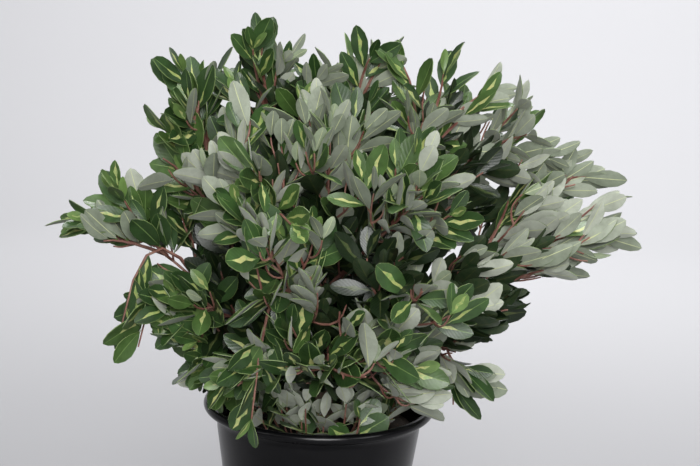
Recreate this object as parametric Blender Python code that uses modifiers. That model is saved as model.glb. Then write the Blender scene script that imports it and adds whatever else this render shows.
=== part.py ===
"""A pittosporum shrub in a black plastic pot, modelled at its real size in metres, +Z up.

The origin is the centre of the pot's flat underside. Six upright stems rise from a short trunk,
each stem carries boughs, and each bough ends in its own mass of leafy twigs.
"""

import math
import random

import bmesh
import bpy
from mathutils import Matrix, Vector
from mathutils.bvhtree import BVHTree
from mathutils.geometry import intersect_point_line

# Pot: a ten-litre grower's pot, 280 mm across its rim
POT_HEIGHT = 0.230
RIM_RADIUS = 0.140
POT_TOP_RADIUS = 0.127
POT_BASE_RADIUS = 0.095
POT_WALL = 0.0025
RIM_DEPTH = 0.010
RIM_LIP = 0.0025
POT_STEPS = 28
GAP = 0.0003

# Potting mix: fills the pot to a little under its rim, and is flat where the trunk stands
MIX_TOP = 0.200
MIX_FALL = 0.006
MIX_FLAT_RADIUS = 0.045

# Trunk: a short stool with a root flare
TRUNK_HEIGHT = 0.045
TRUNK_RADIUS = 0.016
FLARE_RADIUS = 0.027
TRUNK_TOP_RADIUS = 0.020
TRUNK_STEPS = 9

# Stems and boughs, thinning outwards
STEM_RADIUS = 0.0062
STEM_TIP_RADIUS = 0.0060
STEM_SHARE = 0.40
BOUGH_RADIUS = 0.0020
SHOOT_RADIUS = 0.0018
SHOOT_TIP_RADIUS = 0.0012
STEM_ARCH = 0.35
COLLAR_LENGTH = 0.005
LIMB_POINTS = 3
# How far along its arch a bough's bearing is read when the seats on a stem's end are dealt out
BOUGH_SIGHT = 0.35
SHARP_ANGLE = math.radians(70)

# Twigs of a foliage mass
SHOOT_POINTS = 4
TWIGS = 6
TWIG_RADIUS = 0.0015
TWIG_TIP_RADIUS = 0.0011
TWIG_SPREAD = math.radians(46)
TWIG_LIFT = 0.22
TWIG_CURL = 0.35
# Where the first and last twig leave the shoot, and how their lengths compare with the spread
FIRST_TWIG, LAST_TWIG = 0.10, 0.80
FIRST_TWIG_LENGTH, LAST_TWIG_LENGTH = 1.15, 0.55
GOLDEN_TURN = math.radians(137.5)

# Leaves: larger than life, because each one stands for two or three
LEAF_LENGTH = 0.078
LEAF_WIDTH = 0.040
LEAF_THICKNESS = 0.0018
LEAF_SPACING = 0.028
# Where in its own stretch of twig each leaf sits
FIRST_LEAF = 0.35
LEAF_TURN = math.radians(144)
LEAF_SPREAD_BASE = math.radians(58)
LEAF_SPREAD_TIP = math.radians(26)
END_LEAF_SPREAD = math.radians(6)
END_LEAF_SINK = 0.001
LEAST_LEAF = 0.82
# Bare wood below the first leaf of a shoot and of a twig
SHOOT_BARE = 0.012
TWIG_BARE = 0.016
# Light comes from above and, for this share of it, from outside the crown
OUTER_LIGHT = 0.6
SPACE_MARGIN = 0.0020
LEAF_CLEARANCE = 0.0008
# Leaves of one mass keep off each other beyond their first few millimetres
LEAF_STALK = 0.008
BLADE_SHARE = 0.90
# A leaf that finds no room is tried again, turned further round its twig
LEAF_TRIES = 6
NEXT_TRY = math.radians(62)
# How far seeded sizes and angles stray from their rule
STRAY = 0.12

# The heart of the crown, from which every mass is placed
HEART = Vector((0, 0, 0.300))

# Stem of each group of boughs, and its masses: bearing (0 right, 90 back) and rise in degrees,
# reach of the leaf tips from the heart in metres, lift of the arch, leafy share of the limb,
# spread of the side twigs in metres, and how far the leaves turn their upper side to the light
CROWN = {
    "top": {
        "top_left": (170, 73, 0.380, -0.04, 0.72, 0.085, 0.20),
        "top_right": (50, 82, 0.372, -0.04, 0.72, 0.090, 0.15),
        "upper_right": (-6, 65, 0.368, -0.05, 0.72, 0.090, 0.15),
        "right_high": (14, 51, 0.402, -0.05, 0.72, 0.080, 0.10),
    },
    "right": {
        "right_sweep_high": (4, 39, 0.414, -0.06, 0.76, 0.085, 0.05),
        "right_sweep_low": (-5, 30, 0.414, -0.07, 0.76, 0.080, 0.05),
        "right_low": (-22, 22, 0.265, -0.04, 0.72, 0.080, 0.10),
        "right_sprig": (-15, 3, 0.222, -0.08, 0.68, 0.050, 0.35),
    },
    "front": {
        "front_low": (-56, 28, 0.290, -0.03, 0.72, 0.085, 0.30),
        "front_rim": (-44, -3, 0.190, 0.06, 0.74, 0.070, 0.30),
        "front_middle": (-86, 7, 0.235, 0.02, 0.78, 0.085, 0.30),
        "front_hanging": (-124, -2, 0.228, 0.28, 0.72, 0.040, 0.75),
        "front_left": (-108, 40, 0.305, -0.02, 0.72, 0.085, 0.60),
    },
    "front_top": {
        "front_right": (-58, 48, 0.350, -0.04, 0.72, 0.090, 0.10),
        "front_crown": (-88, 69, 0.345, -0.04, 0.72, 0.085, 0.20),
        "front_high": (-126, 56, 0.340, -0.02, 0.72, 0.085, 0.55),
    },
    "left": {
        "left_arm": (-176, 31, 0.328, 0.00, 0.72, 0.075, 0.45),
        "left_high": (178, 61, 0.382, -0.04, 0.72, 0.080, 0.40),
        "left_drooping": (-156, 13, 0.240, 0.26, 0.72, 0.055, 0.70),
        "left_rim": (-162, -6, 0.190, 0.08, 0.70, 0.060, 0.50),
    },
    "back": {
        "back_left": (138, 36, 0.345, -0.04, 0.74, 0.090, 0.30),
        "back_high": (104, 62, 0.360, -0.04, 0.72, 0.090, 0.25),
        "back_right": (44, 36, 0.355, -0.04, 0.74, 0.090, 0.20),
        "back_middle": (90, 26, 0.330, -0.02, 0.74, 0.090, 0.35),
        "back_low": (66, 2, 0.235, 0.05, 0.70, 0.070, 0.50),
    },
}
MIDDLE_STEM = "top"
# How far the last leaves reach beyond the end of their shoot
TIP_LEAF_REACH = 0.062
LIFT_DIRECTION = Vector((0, 0, 1))
# A direction that no limb runs along, to measure turns round a limb from
NO_LIMB_WAY = Vector((0.31, 0.17, 0.94))


def clear_scene():
    """Removes what the file was opened with."""
    for thing in list(bpy.data.objects):
        bpy.data.objects.remove(thing, do_unlink=True)


def new_collection(name):
    made = bpy.data.collections.new(name)
    bpy.context.scene.collection.children.link(made)
    return made


def material(name, colour, roughness, metallic=0.0):
    made = bpy.data.materials.new(name)
    made.use_nodes = True
    shader = made.node_tree.nodes["Principled BSDF"]
    shader.inputs["Base Color"].default_value = (*colour, 1)
    shader.inputs["Roughness"].default_value = roughness
    shader.inputs["Metallic"].default_value = metallic
    made.diffuse_color = (*colour, 1)
    return made


def mesh_object(name, mesh, collection, finish=None):
    made = bpy.data.objects.new(name, mesh)
    collection.objects.link(made)
    if finish:
        mesh.materials.clear()
        mesh.materials.append(finish)
    return made


def evaluated_mesh(thing):
    """The mesh that an object's curve or modifiers make."""
    graph = bpy.context.evaluated_depsgraph_get()
    return bpy.data.meshes.new_from_object(thing.evaluated_get(graph))


def weld(mesh):
    """Joins a curve's caps to its sides."""
    body = bmesh.new()
    body.from_mesh(mesh)
    bmesh.ops.remove_doubles(body, verts=body.verts, dist=1e-6)
    body.to_mesh(mesh)
    body.free()


def turned(name, profile, steps, collection, finish):
    """A closed body turned round the Z axis from a profile of (radius, height) pairs."""
    body = bmesh.new()
    points = [body.verts.new((radius, 0, height)) for radius, height in profile]
    for first, second in zip(points, points[1:]):
        body.edges.new((first, second))
    mesh = bpy.data.meshes.new(name)
    body.to_mesh(mesh)
    body.free()
    made = mesh_object(name, mesh, collection, finish)
    screw = made.modifiers.new("Turn", "SCREW")
    screw.steps = screw.render_steps = steps
    screw.use_merge_vertices = True
    screw.merge_threshold = 0.00005
    return made


def make_pot(collection, finish):
    """The thin-walled pot, from the middle of its floor up the inside, over the rim and down."""
    lean = (POT_TOP_RADIUS - POT_BASE_RADIUS) / POT_HEIGHT
    shoulder = POT_HEIGHT - RIM_DEPTH
    wall_at = POT_BASE_RADIUS + lean * shoulder
    profile = [
        (0, POT_WALL),
        (POT_BASE_RADIUS - POT_WALL, POT_WALL),
        (wall_at - POT_WALL, shoulder),
        (RIM_RADIUS - 2 * RIM_LIP, POT_HEIGHT - 0.4 * RIM_LIP),
        (RIM_RADIUS - RIM_LIP, POT_HEIGHT),
        (RIM_RADIUS, POT_HEIGHT - 0.6 * RIM_LIP),
        (RIM_RADIUS, POT_HEIGHT - 1.8 * RIM_LIP),
        (RIM_RADIUS - RIM_LIP, POT_HEIGHT - 2.4 * RIM_LIP),
        (wall_at + 0.5 * POT_WALL, shoulder - 0.6 * RIM_LIP),
        (wall_at, shoulder - 2 * RIM_LIP),
        (POT_BASE_RADIUS, 0),
        (0, 0),
    ]
    return turned("pot", profile, POT_STEPS, collection, finish)


def make_mix(collection, finish):
    """The potting mix, clear of the pot's wall and floor."""
    lean = (POT_TOP_RADIUS - POT_BASE_RADIUS) / POT_HEIGHT
    floor = POT_WALL + GAP
    edge = MIX_TOP - MIX_FALL
    inner = POT_BASE_RADIUS - POT_WALL - 2 * GAP
    profile = [
        (0, MIX_TOP),
        (MIX_FLAT_RADIUS, MIX_TOP),
        (inner + lean * edge, edge),
        (inner, floor),
        (0, floor),
    ]
    return turned("potting_mix", profile, POT_STEPS, collection, finish)


def make_trunk(collection, finish):
    """The short stool: root flare, waist and the swollen head that the stems leave."""
    foot = MIX_TOP + GAP
    profile = [
        (0, foot + TRUNK_HEIGHT),
        (TRUNK_TOP_RADIUS, foot + TRUNK_HEIGHT),
        (TRUNK_TOP_RADIUS, foot + 0.75 * TRUNK_HEIGHT),
        (TRUNK_RADIUS, foot + 0.45 * TRUNK_HEIGHT),
        (0.75 * FLARE_RADIUS, foot + 0.15 * TRUNK_HEIGHT),
        (FLARE_RADIUS, foot),
        (0, foot),
    ]
    return turned("trunk", profile, TRUNK_STEPS, collection, finish)


def tube(name, points, radii, collection, finish, section=None):
    """A tapering limb on a curve: six-sided, or with the section of a bevel object."""
    curve = bpy.data.curves.new(name, "CURVE")
    curve.dimensions = "3D"
    curve.use_fill_caps = True
    if section:
        curve.bevel_mode = "OBJECT"
        curve.bevel_object = section
    else:
        curve.bevel_depth = 1.0
        curve.bevel_resolution = 1
    line = curve.splines.new("POLY")
    line.points.add(len(points) - 1)
    for spot, place, radius in zip(line.points, points, radii):
        spot.co = (*place, 1)
        spot.radius = radius
    drawn = bpy.data.objects.new(name + "_curve", curve)
    collection.objects.link(drawn)
    bpy.context.view_layer.update()
    mesh = evaluated_mesh(drawn)
    weld(mesh)
    mesh.shade_smooth()
    mesh.set_sharp_from_angle(angle=SHARP_ANGLE)
    mesh.name = name
    bpy.data.objects.remove(drawn)
    return mesh_object(name, mesh, collection, finish)


def triangle_section(collection):
    """The three-sided outline that twigs are drawn with."""
    curve = bpy.data.curves.new("twig_section", "CURVE")
    curve.dimensions = "2D"
    line = curve.splines.new("POLY")
    line.points.add(2)
    line.use_cyclic_u = True
    for corner, spot in enumerate(line.points):
        turn = -2 * math.pi * corner / 3
        spot.co = (math.cos(turn), math.sin(turn), 0, 1)
    made = bpy.data.objects.new("twig_section", curve)
    made.hide_render = True
    made.display_type = "WIRE"
    collection.objects.link(made)
    return made


def from_heart(bearing, rise, reach):
    """The place that lies this far from the crown's heart."""
    turn, up = math.radians(bearing), math.radians(rise)
    flat = math.cos(up)
    return HEART + reach * Vector((flat * math.cos(turn), flat * math.sin(turn), math.sin(up)))


def arch(start, end, lift, share):
    """A point on the arched limb from start to end; lift raises or lowers its middle."""
    middle = (start + end) / 2 + LIFT_DIRECTION * lift * (end - start).length
    return (1 - share) ** 2 * start + 2 * share * (1 - share) * middle + share**2 * end


def mix(first, second, share):
    return first + (second - first) * share


def varied(dice):
    """A factor near one."""
    return dice.uniform(1 - STRAY, 1 + STRAY)


def square_to(direction):
    """Two unit directions at right angles to this one and to each other."""
    aside = direction.cross(NO_LIMB_WAY).normalized()
    return aside, direction.cross(aside).normalized()


def dealt_round(direction, origin, targets, radius, clearance, hole=0.0):
    """Deals a ring of seats on a limb's end to the targets, each on its own side."""
    aside, across = square_to(direction)
    turns = {}
    for name, target in targets.items():
        way = target - origin
        turns[name] = math.atan2(way.dot(across), way.dot(aside)) % (2 * math.pi)
    order = sorted(turns, key=turns.get)
    step = 2 * math.pi / len(order)
    slack = [turns[name] - k * step for k, name in enumerate(order)]
    first = sum((turn + math.pi) % (2 * math.pi) - math.pi for turn in slack) / len(slack)
    out = max((radius + clearance) / math.sin(step / 2), hole + radius + clearance)
    placed = {}
    for k, name in enumerate(order):
        angle = first + k * step
        placed[name] = origin + out * (math.cos(angle) * aside + math.sin(angle) * across)
    return placed


class Mass:
    """One foliage mass: its limb's arch, and the sizes that its twigs grow by."""

    def __init__(self, number, name, row, start):
        bearing, rise, reach, self.lift, self.leafy, self.spread, self.light = row
        self.name = name
        self.number = number
        self.start = start
        self.end = from_heart(bearing, rise, reach - TIP_LEAF_REACH)
        self.fork = 1 - self.leafy

    def at(self, share):
        return arch(self.start, self.end, self.lift, share)

    def direction(self, share):
        step = 0.01
        return (self.at(share + step) - self.at(share - step)).normalized()

    def shoot(self):
        """The leafy shoot's own line, which starts square and just clear of its bough."""
        heading = self.direction(self.fork)
        points = [self.at(mix(self.fork, 1, k / (SHOOT_POINTS - 1))) for k in range(SHOOT_POINTS)]
        return [points[0] + GAP * heading, points[0] + COLLAR_LENGTH * heading] + points[1:]


def place_stems():
    """The upright stems: (start, tip) of each, and the masses that their boughs lead to."""
    head = Vector((0, 0, MIX_TOP + GAP + TRUNK_HEIGHT + GAP))
    tips = {}
    for stem, masses in CROWN.items():
        ends = [from_heart(*row[:3]) for row in masses.values()]
        tips[stem] = mix(head, sum(ends, Vector()) / len(ends), STEM_SHARE)
    outer = {stem: tip for stem, tip in tips.items() if stem != MIDDLE_STEM}
    starts = dealt_round(Vector((0, 0, 1)), head, outer, STEM_RADIUS, GAP, hole=STEM_RADIUS)
    starts[MIDDLE_STEM] = head
    return {stem: (starts[stem], tips[stem]) for stem in CROWN}


def stem_line(start, tip):
    """A stem leaves the trunk upright, then leans over to its tip."""
    rise = Vector((0, 0, STEM_ARCH * (tip - start).length))
    points = [start, start + Vector((0, 0, COLLAR_LENGTH))]
    for k in range(1, LIMB_POINTS):
        share = k / (LIMB_POINTS - 1)
        control = start + rise
        points.append((1 - share) ** 2 * start + 2 * share * (1 - share) * control + share**2 * tip)
    return points


def bough_line(mass, direction):
    """A bough leaves its stem's end square, and follows its arch to end square at its mass."""
    collar = COLLAR_LENGTH * direction
    points = [mass.start, mass.start + collar]
    for k in range(1, LIMB_POINTS - 1):
        share = k / (LIMB_POINTS - 1)
        points.append(mass.at(mass.fork * share) + collar * (1 - share))
    end = mass.at(mass.fork)
    return points + [end - COLLAR_LENGTH * mass.direction(mass.fork), end]


def thinning(first, last, count):
    return [mix(first, last, k / (count - 1)) for k in range(count)]


def to_line(point, line):
    """The distance from a point to a line of several straight runs."""
    least = math.inf
    for first, second in zip(line, line[1:]):
        nearest, share = intersect_point_line(point, first, second)
        nearest = first if share < 0 else second if share > 1 else nearest
        least = min(least, (point - nearest).length)
    return least


def twig_lines(mass, dice):
    """Side twigs round the shoot at the golden angle, shorter towards its tip."""
    made = []
    phase = dice.uniform(0, 2 * math.pi)
    for k in range(TWIGS):
        along = mix(FIRST_TWIG, LAST_TWIG, k / (TWIGS - 1))
        share = mix(mass.fork, 1, along)
        root, forward = mass.at(share), mass.direction(share)
        aside, across = square_to(forward)
        turn = phase + k * GOLDEN_TURN
        outward = math.cos(turn) * aside + math.sin(turn) * across
        spread = TWIG_SPREAD * varied(dice)
        way = math.cos(spread) * forward + math.sin(spread) * outward
        length = mass.spread * mix(FIRST_TWIG_LENGTH, LAST_TWIG_LENGTH, along) * varied(dice)
        bend = (mix(way, forward, TWIG_CURL) + TWIG_LIFT * LIFT_DIRECTION).normalized()
        elbow = root + 0.5 * length * way
        made.append([root, elbow, elbow + 0.5 * length * bend])
    return made


def leaf_places(line, dice, bare):
    """The leaves of a twig: (root, the twig's direction there, turn round it, spread, size)."""
    lengths = [(b - a).length for a, b in zip(line, line[1:])]
    total = sum(lengths)
    count = max(1, round((total - bare) / LEAF_SPACING))
    phase = dice.uniform(0, 2 * math.pi)
    for k in range(count + 1):
        ends_twig = k == count
        reach = total - END_LEAF_SINK if ends_twig else bare + (k + FIRST_LEAF) * (total - bare) / count
        run = 0
        while run < len(lengths) - 1 and reach > lengths[run]:
            reach -= lengths[run]
            run += 1
        forward = (line[run + 1] - line[run]).normalized()
        root = line[run] + reach * forward
        spread = mix(LEAF_SPREAD_BASE, LEAF_SPREAD_TIP, k / count) * varied(dice)
        if ends_twig:
            spread = END_LEAF_SPREAD
        size = mix(1.0, LEAST_LEAF, k / count) * varied(dice)
        yield root, forward, phase + k * LEAF_TURN, spread, size


def leaf_ways(root, forward, turn, spread, light):
    """Which way a blade points, and its upper side, which turns to the light."""
    aside, across = square_to(forward)
    outward = math.cos(turn) * aside + math.sin(turn) * across
    way = math.cos(spread) * forward + math.sin(spread) * outward
    upper = math.sin(spread) * forward - math.cos(spread) * outward
    upper += light * (LIFT_DIRECTION + OUTER_LIGHT * (root - HEART).normalized())
    return way, (upper - upper.dot(way) * way).normalized()


def leaf_body(root, way, upper, size):
    """An eight-faced leaf blade whose root lies inside its twig."""
    across = way.cross(upper)
    blade = Matrix((
        across * LEAF_WIDTH / 2 * size,
        upper * LEAF_THICKNESS / 2,
        way * LEAF_LENGTH / 2 * size,
    )).transposed()
    body = bmesh.new()
    place = Matrix.Translation(root + way * LEAF_LENGTH / 2 * size) @ blade.to_4x4()
    bmesh.ops.create_uvsphere(body, u_segments=4, v_segments=2, radius=1, matrix=place)
    bmesh.ops.recalc_face_normals(body, faces=body.faces)
    return body


def tree_of(bodies):
    """One search tree over several bodies, for finding what touches what."""
    corners, faces = [], []
    for body in bodies:
        first = len(corners)
        body.verts.ensure_lookup_table()
        corners += [v.co.copy() for v in body.verts]
        faces += [[first + v.index for v in face.verts] for face in body.faces]
    return BVHTree.FromPolygons(corners, faces)


def body_of(thing, swell):
    """An object's own shape as a bmesh, swollen a little so that what is clear of it stays clear."""
    graph = bpy.context.evaluated_depsgraph_get()
    body = bmesh.new()
    body.from_mesh(thing.evaluated_get(graph).to_mesh())
    body.normal_update()
    shifts = [v.normal * swell for v in body.verts]
    for vertex, shift in zip(body.verts, shifts):
        vertex.co += shift
    return body


def samples(body):
    """The body's corners and the middles of its edges."""
    places = [v.co for v in body.verts]
    return places + [(e.verts[0].co + e.verts[1].co) / 2 for e in body.edges]


def in_own_space(places, mass, lines):
    """True if every place lies nearer this mass's shoot than any other mass's shoot."""
    for place in places:
        own = to_line(place, lines[mass.name]) + SPACE_MARGIN
        for name, line in lines.items():
            if name != mass.name and to_line(place, line) < own:
                return False
    return True


def keep_one_body(mesh):
    """Drops loose scraps and the walls of sealed hollows: all but the largest body of linked faces."""
    body = bmesh.new()
    body.from_mesh(mesh)
    bmesh.ops.triangulate(body, faces=body.faces)
    unseen, groups = set(body.faces), []
    while unseen:
        group, fringe = [], [unseen.pop()]
        while fringe:
            face = fringe.pop()
            group.append(face)
            joined = [edge for edge in face.edges if len(edge.link_faces) == 2]
            near = {other for edge in joined for other in edge.link_faces} & unseen
            unseen -= near
            fringe += near
        groups.append(group)
    groups.sort(key=len)
    loose = [face for group in groups[:-1] for face in group]
    bmesh.ops.delete(body, geom=loose, context="FACES")
    body.to_mesh(mesh)
    body.free()


def fuse(name, core, pieces, collection, finish):
    """Joins a shoot and its twigs and leaves into one solid."""
    group = new_collection(name + "_pieces")
    for number, body in enumerate(pieces):
        mesh = bpy.data.meshes.new(f"{name}_piece_{number}")
        body.to_mesh(mesh)
        group.objects.link(bpy.data.objects.new(mesh.name, mesh))
    union = core.modifiers.new("Union", "BOOLEAN")
    union.operation = "UNION"
    union.operand_type = "COLLECTION"
    union.collection = group
    bpy.context.view_layer.update()
    mesh = evaluated_mesh(core)
    keep_one_body(mesh)
    for piece in list(group.objects):
        bpy.data.objects.remove(piece)
    bpy.data.collections.remove(group)
    bpy.data.objects.remove(core)
    mesh.name = name
    return mesh_object(name, mesh, collection, finish)


def clears(body, mass, lines, walls):
    """True if a twig or leaf stays in its mass's space and touches no limb or pot."""
    if walls.overlap(tree_of([body])):
        return False
    return in_own_space(samples(body), mass, lines)


def grow_mass(mass, lines, walls, section, collection, finish):
    """Grows the twigs and leaves of one mass and fuses them on its shoot."""
    dice = random.Random(mass.number)
    line = mass.shoot()
    radii = thinning(SHOOT_RADIUS, SHOOT_TIP_RADIUS, len(line))
    core = tube(mass.name, line, radii, collection, None, section)
    pieces, carriers = [], [(line, SHOOT_BARE)]
    for twig in twig_lines(mass, dice):
        radii = thinning(TWIG_RADIUS, TWIG_TIP_RADIUS, len(twig))
        drawn = tube("twig", twig, radii, collection, None, section)
        body = bmesh.new()
        body.from_mesh(drawn.data)
        bpy.data.objects.remove(drawn)
        if clears(body, mass, lines, walls):
            pieces.append(body)
            carriers.append((twig, TWIG_BARE))
    blades = []
    for carrier, bare in carriers:
        for root, forward, turn, spread, size in leaf_places(carrier, dice, bare):
            for attempt in range(LEAF_TRIES):
                way, upper = leaf_ways(root, forward, turn + attempt * NEXT_TRY, spread, mass.light)
                body = leaf_body(root, way, upper, size)
                blade = tree_of([leaf_body(root + LEAF_STALK * way, way, upper, BLADE_SHARE * size)])
                crossed = any(blade.overlap(other) for other in blades)
                if not crossed and clears(body, mass, lines, walls):
                    blades.append(blade)
                    pieces.append(body)
                    break
    fuse(mass.name, core, pieces, collection, finish)
    return len(blades)


def main():
    clear_scene()
    shrub = new_collection("pittosporum_shrub")
    helpers = new_collection("helpers")
    plastic = material("black_plastic", (0.012, 0.012, 0.014), 0.35)
    earth = material("potting_mix", (0.035, 0.022, 0.014), 0.95)
    bark = material("bark", (0.17, 0.095, 0.065), 0.80)
    young_bark = material("young_bark", (0.24, 0.11, 0.085), 0.65)
    foliage = material("foliage", (0.16, 0.24, 0.13), 0.55)

    solids = [make_pot(shrub, plastic), make_mix(shrub, earth), make_trunk(shrub, bark)]
    section = triangle_section(helpers)

    masses = []
    for stem, (start, tip) in place_stems().items():
        line = stem_line(start, tip)
        radii = thinning(STEM_RADIUS, STEM_TIP_RADIUS, len(line))
        solids.append(tube(f"stem_{stem}", line, radii, shrub, bark))
        heading = (line[-1] - line[-2]).normalized()
        seat_centre = tip + GAP * heading
        targets = {}
        for name, (bearing, rise, reach, lift, *_) in CROWN[stem].items():
            end = from_heart(bearing, rise, reach)
            targets[name] = arch(seat_centre, end, lift, BOUGH_SIGHT)
        seats = dealt_round(heading, seat_centre, targets, BOUGH_RADIUS, GAP)
        for name, row in CROWN[stem].items():
            mass = Mass(len(masses), f"foliage_{name}", row, seats[name])
            masses.append(mass)
            bough = bough_line(mass, heading)
            radii = thinning(BOUGH_RADIUS, SHOOT_RADIUS, len(bough))
            solids.append(tube(f"bough_{name}", bough, radii, shrub, young_bark))

    bpy.context.view_layer.update()
    walls = tree_of([body_of(thing, LEAF_CLEARANCE) for thing in solids])
    lines = {mass.name: mass.shoot() for mass in masses}
    for mass in masses:
        count = grow_mass(mass, lines, walls, section, shrub, foliage)
        print(f"{mass.name}: {count} leaves")


main()
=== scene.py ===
# %% [markdown]
# # A pittosporum shrub in its pot
#
# This lesson dresses a plain CAD model of a potted shrub for a render. The CAD model gives every
# size and place: the pot, the potting mix, a short trunk, six stems, and a bough for each of 25
# masses of leaves. Here each of them gets its looks. The pot and the mix are turned bodies, the
# limbs are tubes with bark relief, and the leaves are small two-sided blades, dealt out along
# twigs by the same growth rule as the CAD model's.

# %% Load the CAD model
import math
import random
from collections import namedtuple

import bmesh
import bpy
import numpy as np
from mathutils import Matrix, Vector, noise


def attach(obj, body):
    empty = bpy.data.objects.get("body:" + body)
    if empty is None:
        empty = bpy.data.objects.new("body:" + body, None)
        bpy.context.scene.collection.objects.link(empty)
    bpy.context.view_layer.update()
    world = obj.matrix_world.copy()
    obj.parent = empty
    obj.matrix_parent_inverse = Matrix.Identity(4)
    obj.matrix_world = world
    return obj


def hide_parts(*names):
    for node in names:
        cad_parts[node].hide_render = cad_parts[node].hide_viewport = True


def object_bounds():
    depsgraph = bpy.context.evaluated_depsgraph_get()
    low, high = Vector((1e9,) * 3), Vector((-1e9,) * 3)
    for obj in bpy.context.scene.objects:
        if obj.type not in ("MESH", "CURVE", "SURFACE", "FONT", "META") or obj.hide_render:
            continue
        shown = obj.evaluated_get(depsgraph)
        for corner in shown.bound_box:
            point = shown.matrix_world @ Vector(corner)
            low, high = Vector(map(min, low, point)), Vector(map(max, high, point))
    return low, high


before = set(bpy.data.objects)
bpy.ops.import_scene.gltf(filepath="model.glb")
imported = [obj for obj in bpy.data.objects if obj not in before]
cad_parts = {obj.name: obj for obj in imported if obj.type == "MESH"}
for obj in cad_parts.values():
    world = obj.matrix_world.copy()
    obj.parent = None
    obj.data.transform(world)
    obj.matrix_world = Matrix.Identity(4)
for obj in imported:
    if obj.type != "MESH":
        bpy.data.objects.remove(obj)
cad_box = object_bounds()
MM = 0.001
UP = Vector((0, 0, 1))
print("CAD nodes:", len(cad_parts))

# %% [markdown]
# ## The camera
#
# The photograph was taken from a little above the crown's middle, with a slight roll. A camera
# could be aimed by a constraint, but that leaves no room for the roll. So it is turned by the
# three directions of its own axes: right, up and backwards.

# %% Camera
CAMERA_PLACE = Vector((0.0293, -1.4643, 0.695))
CAMERA_PITCH = 0.1752
CAMERA_ROLL = 0.0397
CAMERA_LENS = 64.3


def make_camera():
    ahead = Vector((0, math.cos(CAMERA_PITCH), -math.sin(CAMERA_PITCH)))
    level = Vector((1, 0, 0))
    above = level.cross(ahead)
    right = level * math.cos(CAMERA_ROLL) + above * math.sin(CAMERA_ROLL)
    upward = above * math.cos(CAMERA_ROLL) - level * math.sin(CAMERA_ROLL)
    lens = bpy.data.cameras.new("camera")
    lens.lens = CAMERA_LENS
    camera = bpy.data.objects.new("camera", lens)
    turn = Matrix((right, upward, -ahead)).transposed().to_4x4()
    camera.matrix_world = Matrix.Translation(CAMERA_PLACE) @ turn
    bpy.context.scene.collection.objects.link(camera)
    bpy.context.scene.camera = camera
    return camera


print("camera:", make_camera().name)

# %% [markdown]
# ## Finishes from nodes
#
# A finish is a small graph of nodes that ends in the Principled shader. It could be a painted
# picture instead, but then every twig and leaf has to be unwrapped for it. The same few steps
# come back in every finish: noise in the object's own space, a colour ramp that the noise runs
# through, and a bump. Each step is a short function, so a finish later reads like a recipe.


# %% Materials by nodes
def new_material(name, colour, roughness, **sockets):
    """A material whose shader has these plain values."""
    made = bpy.data.materials.new(name)
    made.use_nodes = True
    shader = made.node_tree.nodes["Principled BSDF"]
    shader.inputs["Base Color"].default_value = (*colour, 1)
    shader.inputs["Roughness"].default_value = roughness
    for socket, value in sockets.items():
        shader.inputs[socket.replace("_", " ")].default_value = value
    made.diffuse_color = (*colour, 1)
    return made


def node(made, kind, links=(), **values):
    """Adds a node to a material: its own settings by name, and its sockets from links."""
    new = made.node_tree.nodes.new(kind)
    for key, value in values.items():
        setattr(new, key, value)
    for socket, source in links:
        if isinstance(source, bpy.types.NodeSocket):
            made.node_tree.links.new(source, new.inputs[socket])
        else:
            new.inputs[socket].default_value = source
    return new


def feed(made, socket, source):
    """Joins a node's output to the material's shader."""
    shader = made.node_tree.nodes["Principled BSDF"]
    made.node_tree.links.new(source, shader.inputs[socket])


# %% Noise, ramp and bump
def grain(made, scale, detail=4.0, roughness=0.6):
    """Fine noise in the object's own space, with scale as its features to a metre."""
    place = node(made, "ShaderNodeTexCoord").outputs["Object"]
    links = [("Vector", place), ("Scale", scale), ("Detail", detail), ("Roughness", roughness)]
    return node(made, "ShaderNodeTexNoise", links).outputs["Fac"]


def ramp(made, source, *stops):
    """A colour ramp from (position, colour) stops."""
    new = node(made, "ShaderNodeValToRGB", [("Fac", source)])
    marks = new.color_ramp.elements
    for spare in list(marks)[1:]:
        marks.remove(spare)
    for number, (position, colour) in enumerate(stops):
        stop = marks[0] if number == 0 else marks.new(position)
        stop.position = position
        stop.color = (*colour, 1)
    return new.outputs["Color"]


def span(made, source, low, high):
    """Maps a 0 to 1 source to the range from low to high."""
    links = [("Value", source), ("To Min", low), ("To Max", high)]
    return node(made, "ShaderNodeMapRange", links).outputs["Result"]


def rough_surface(made, source, distance):
    """Bumps the surface by a source, as deep as distance in metres."""
    bump = node(made, "ShaderNodeBump", [("Height", source), ("Distance", distance)])
    feed(made, "Normal", bump.outputs["Normal"])


# %% [markdown]
# ## Floor, backdrop and light
#
# A plain pale cove is both floor and backdrop: a floor that curves up into a wall. A bent sheet
# would do for one view. This cove goes all round, made by spinning its profile, so that every
# side of the plant has the same ground. The crown is lit by a broad soft lamp from the front,
# weaker ones from the left, the right and above, and a little even light from all round. A lamp
# of its own lights the wall, as in a small studio, so that the backdrop can be brighter than
# the plant.

# %% Cove
WALL_COLOUR = (0.26, 0.26, 0.27)
COVE_RADIUS = 4.8
COVE_BEND = 2.2
COVE_BEND_STEPS = 12
COVE_HEIGHT = 4.0
COVE_STEPS = 96


def spun(profile, steps, merge):
    """A bmesh body: a (radius, height) profile spun once round Z, with doubles merged."""
    body = bmesh.new()
    points = [body.verts.new((out, 0, height)) for out, height in profile]
    for first, second in zip(points, points[1:]):
        body.edges.new((first, second))
    bmesh.ops.spin(
        body, geom=list(body.verts) + list(body.edges), cent=(0, 0, 0), axis=(0, 0, 1),
        angle=2 * math.pi, steps=steps, use_merge=True,
    )
    bmesh.ops.remove_doubles(body, verts=body.verts, dist=merge)
    return body


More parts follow.
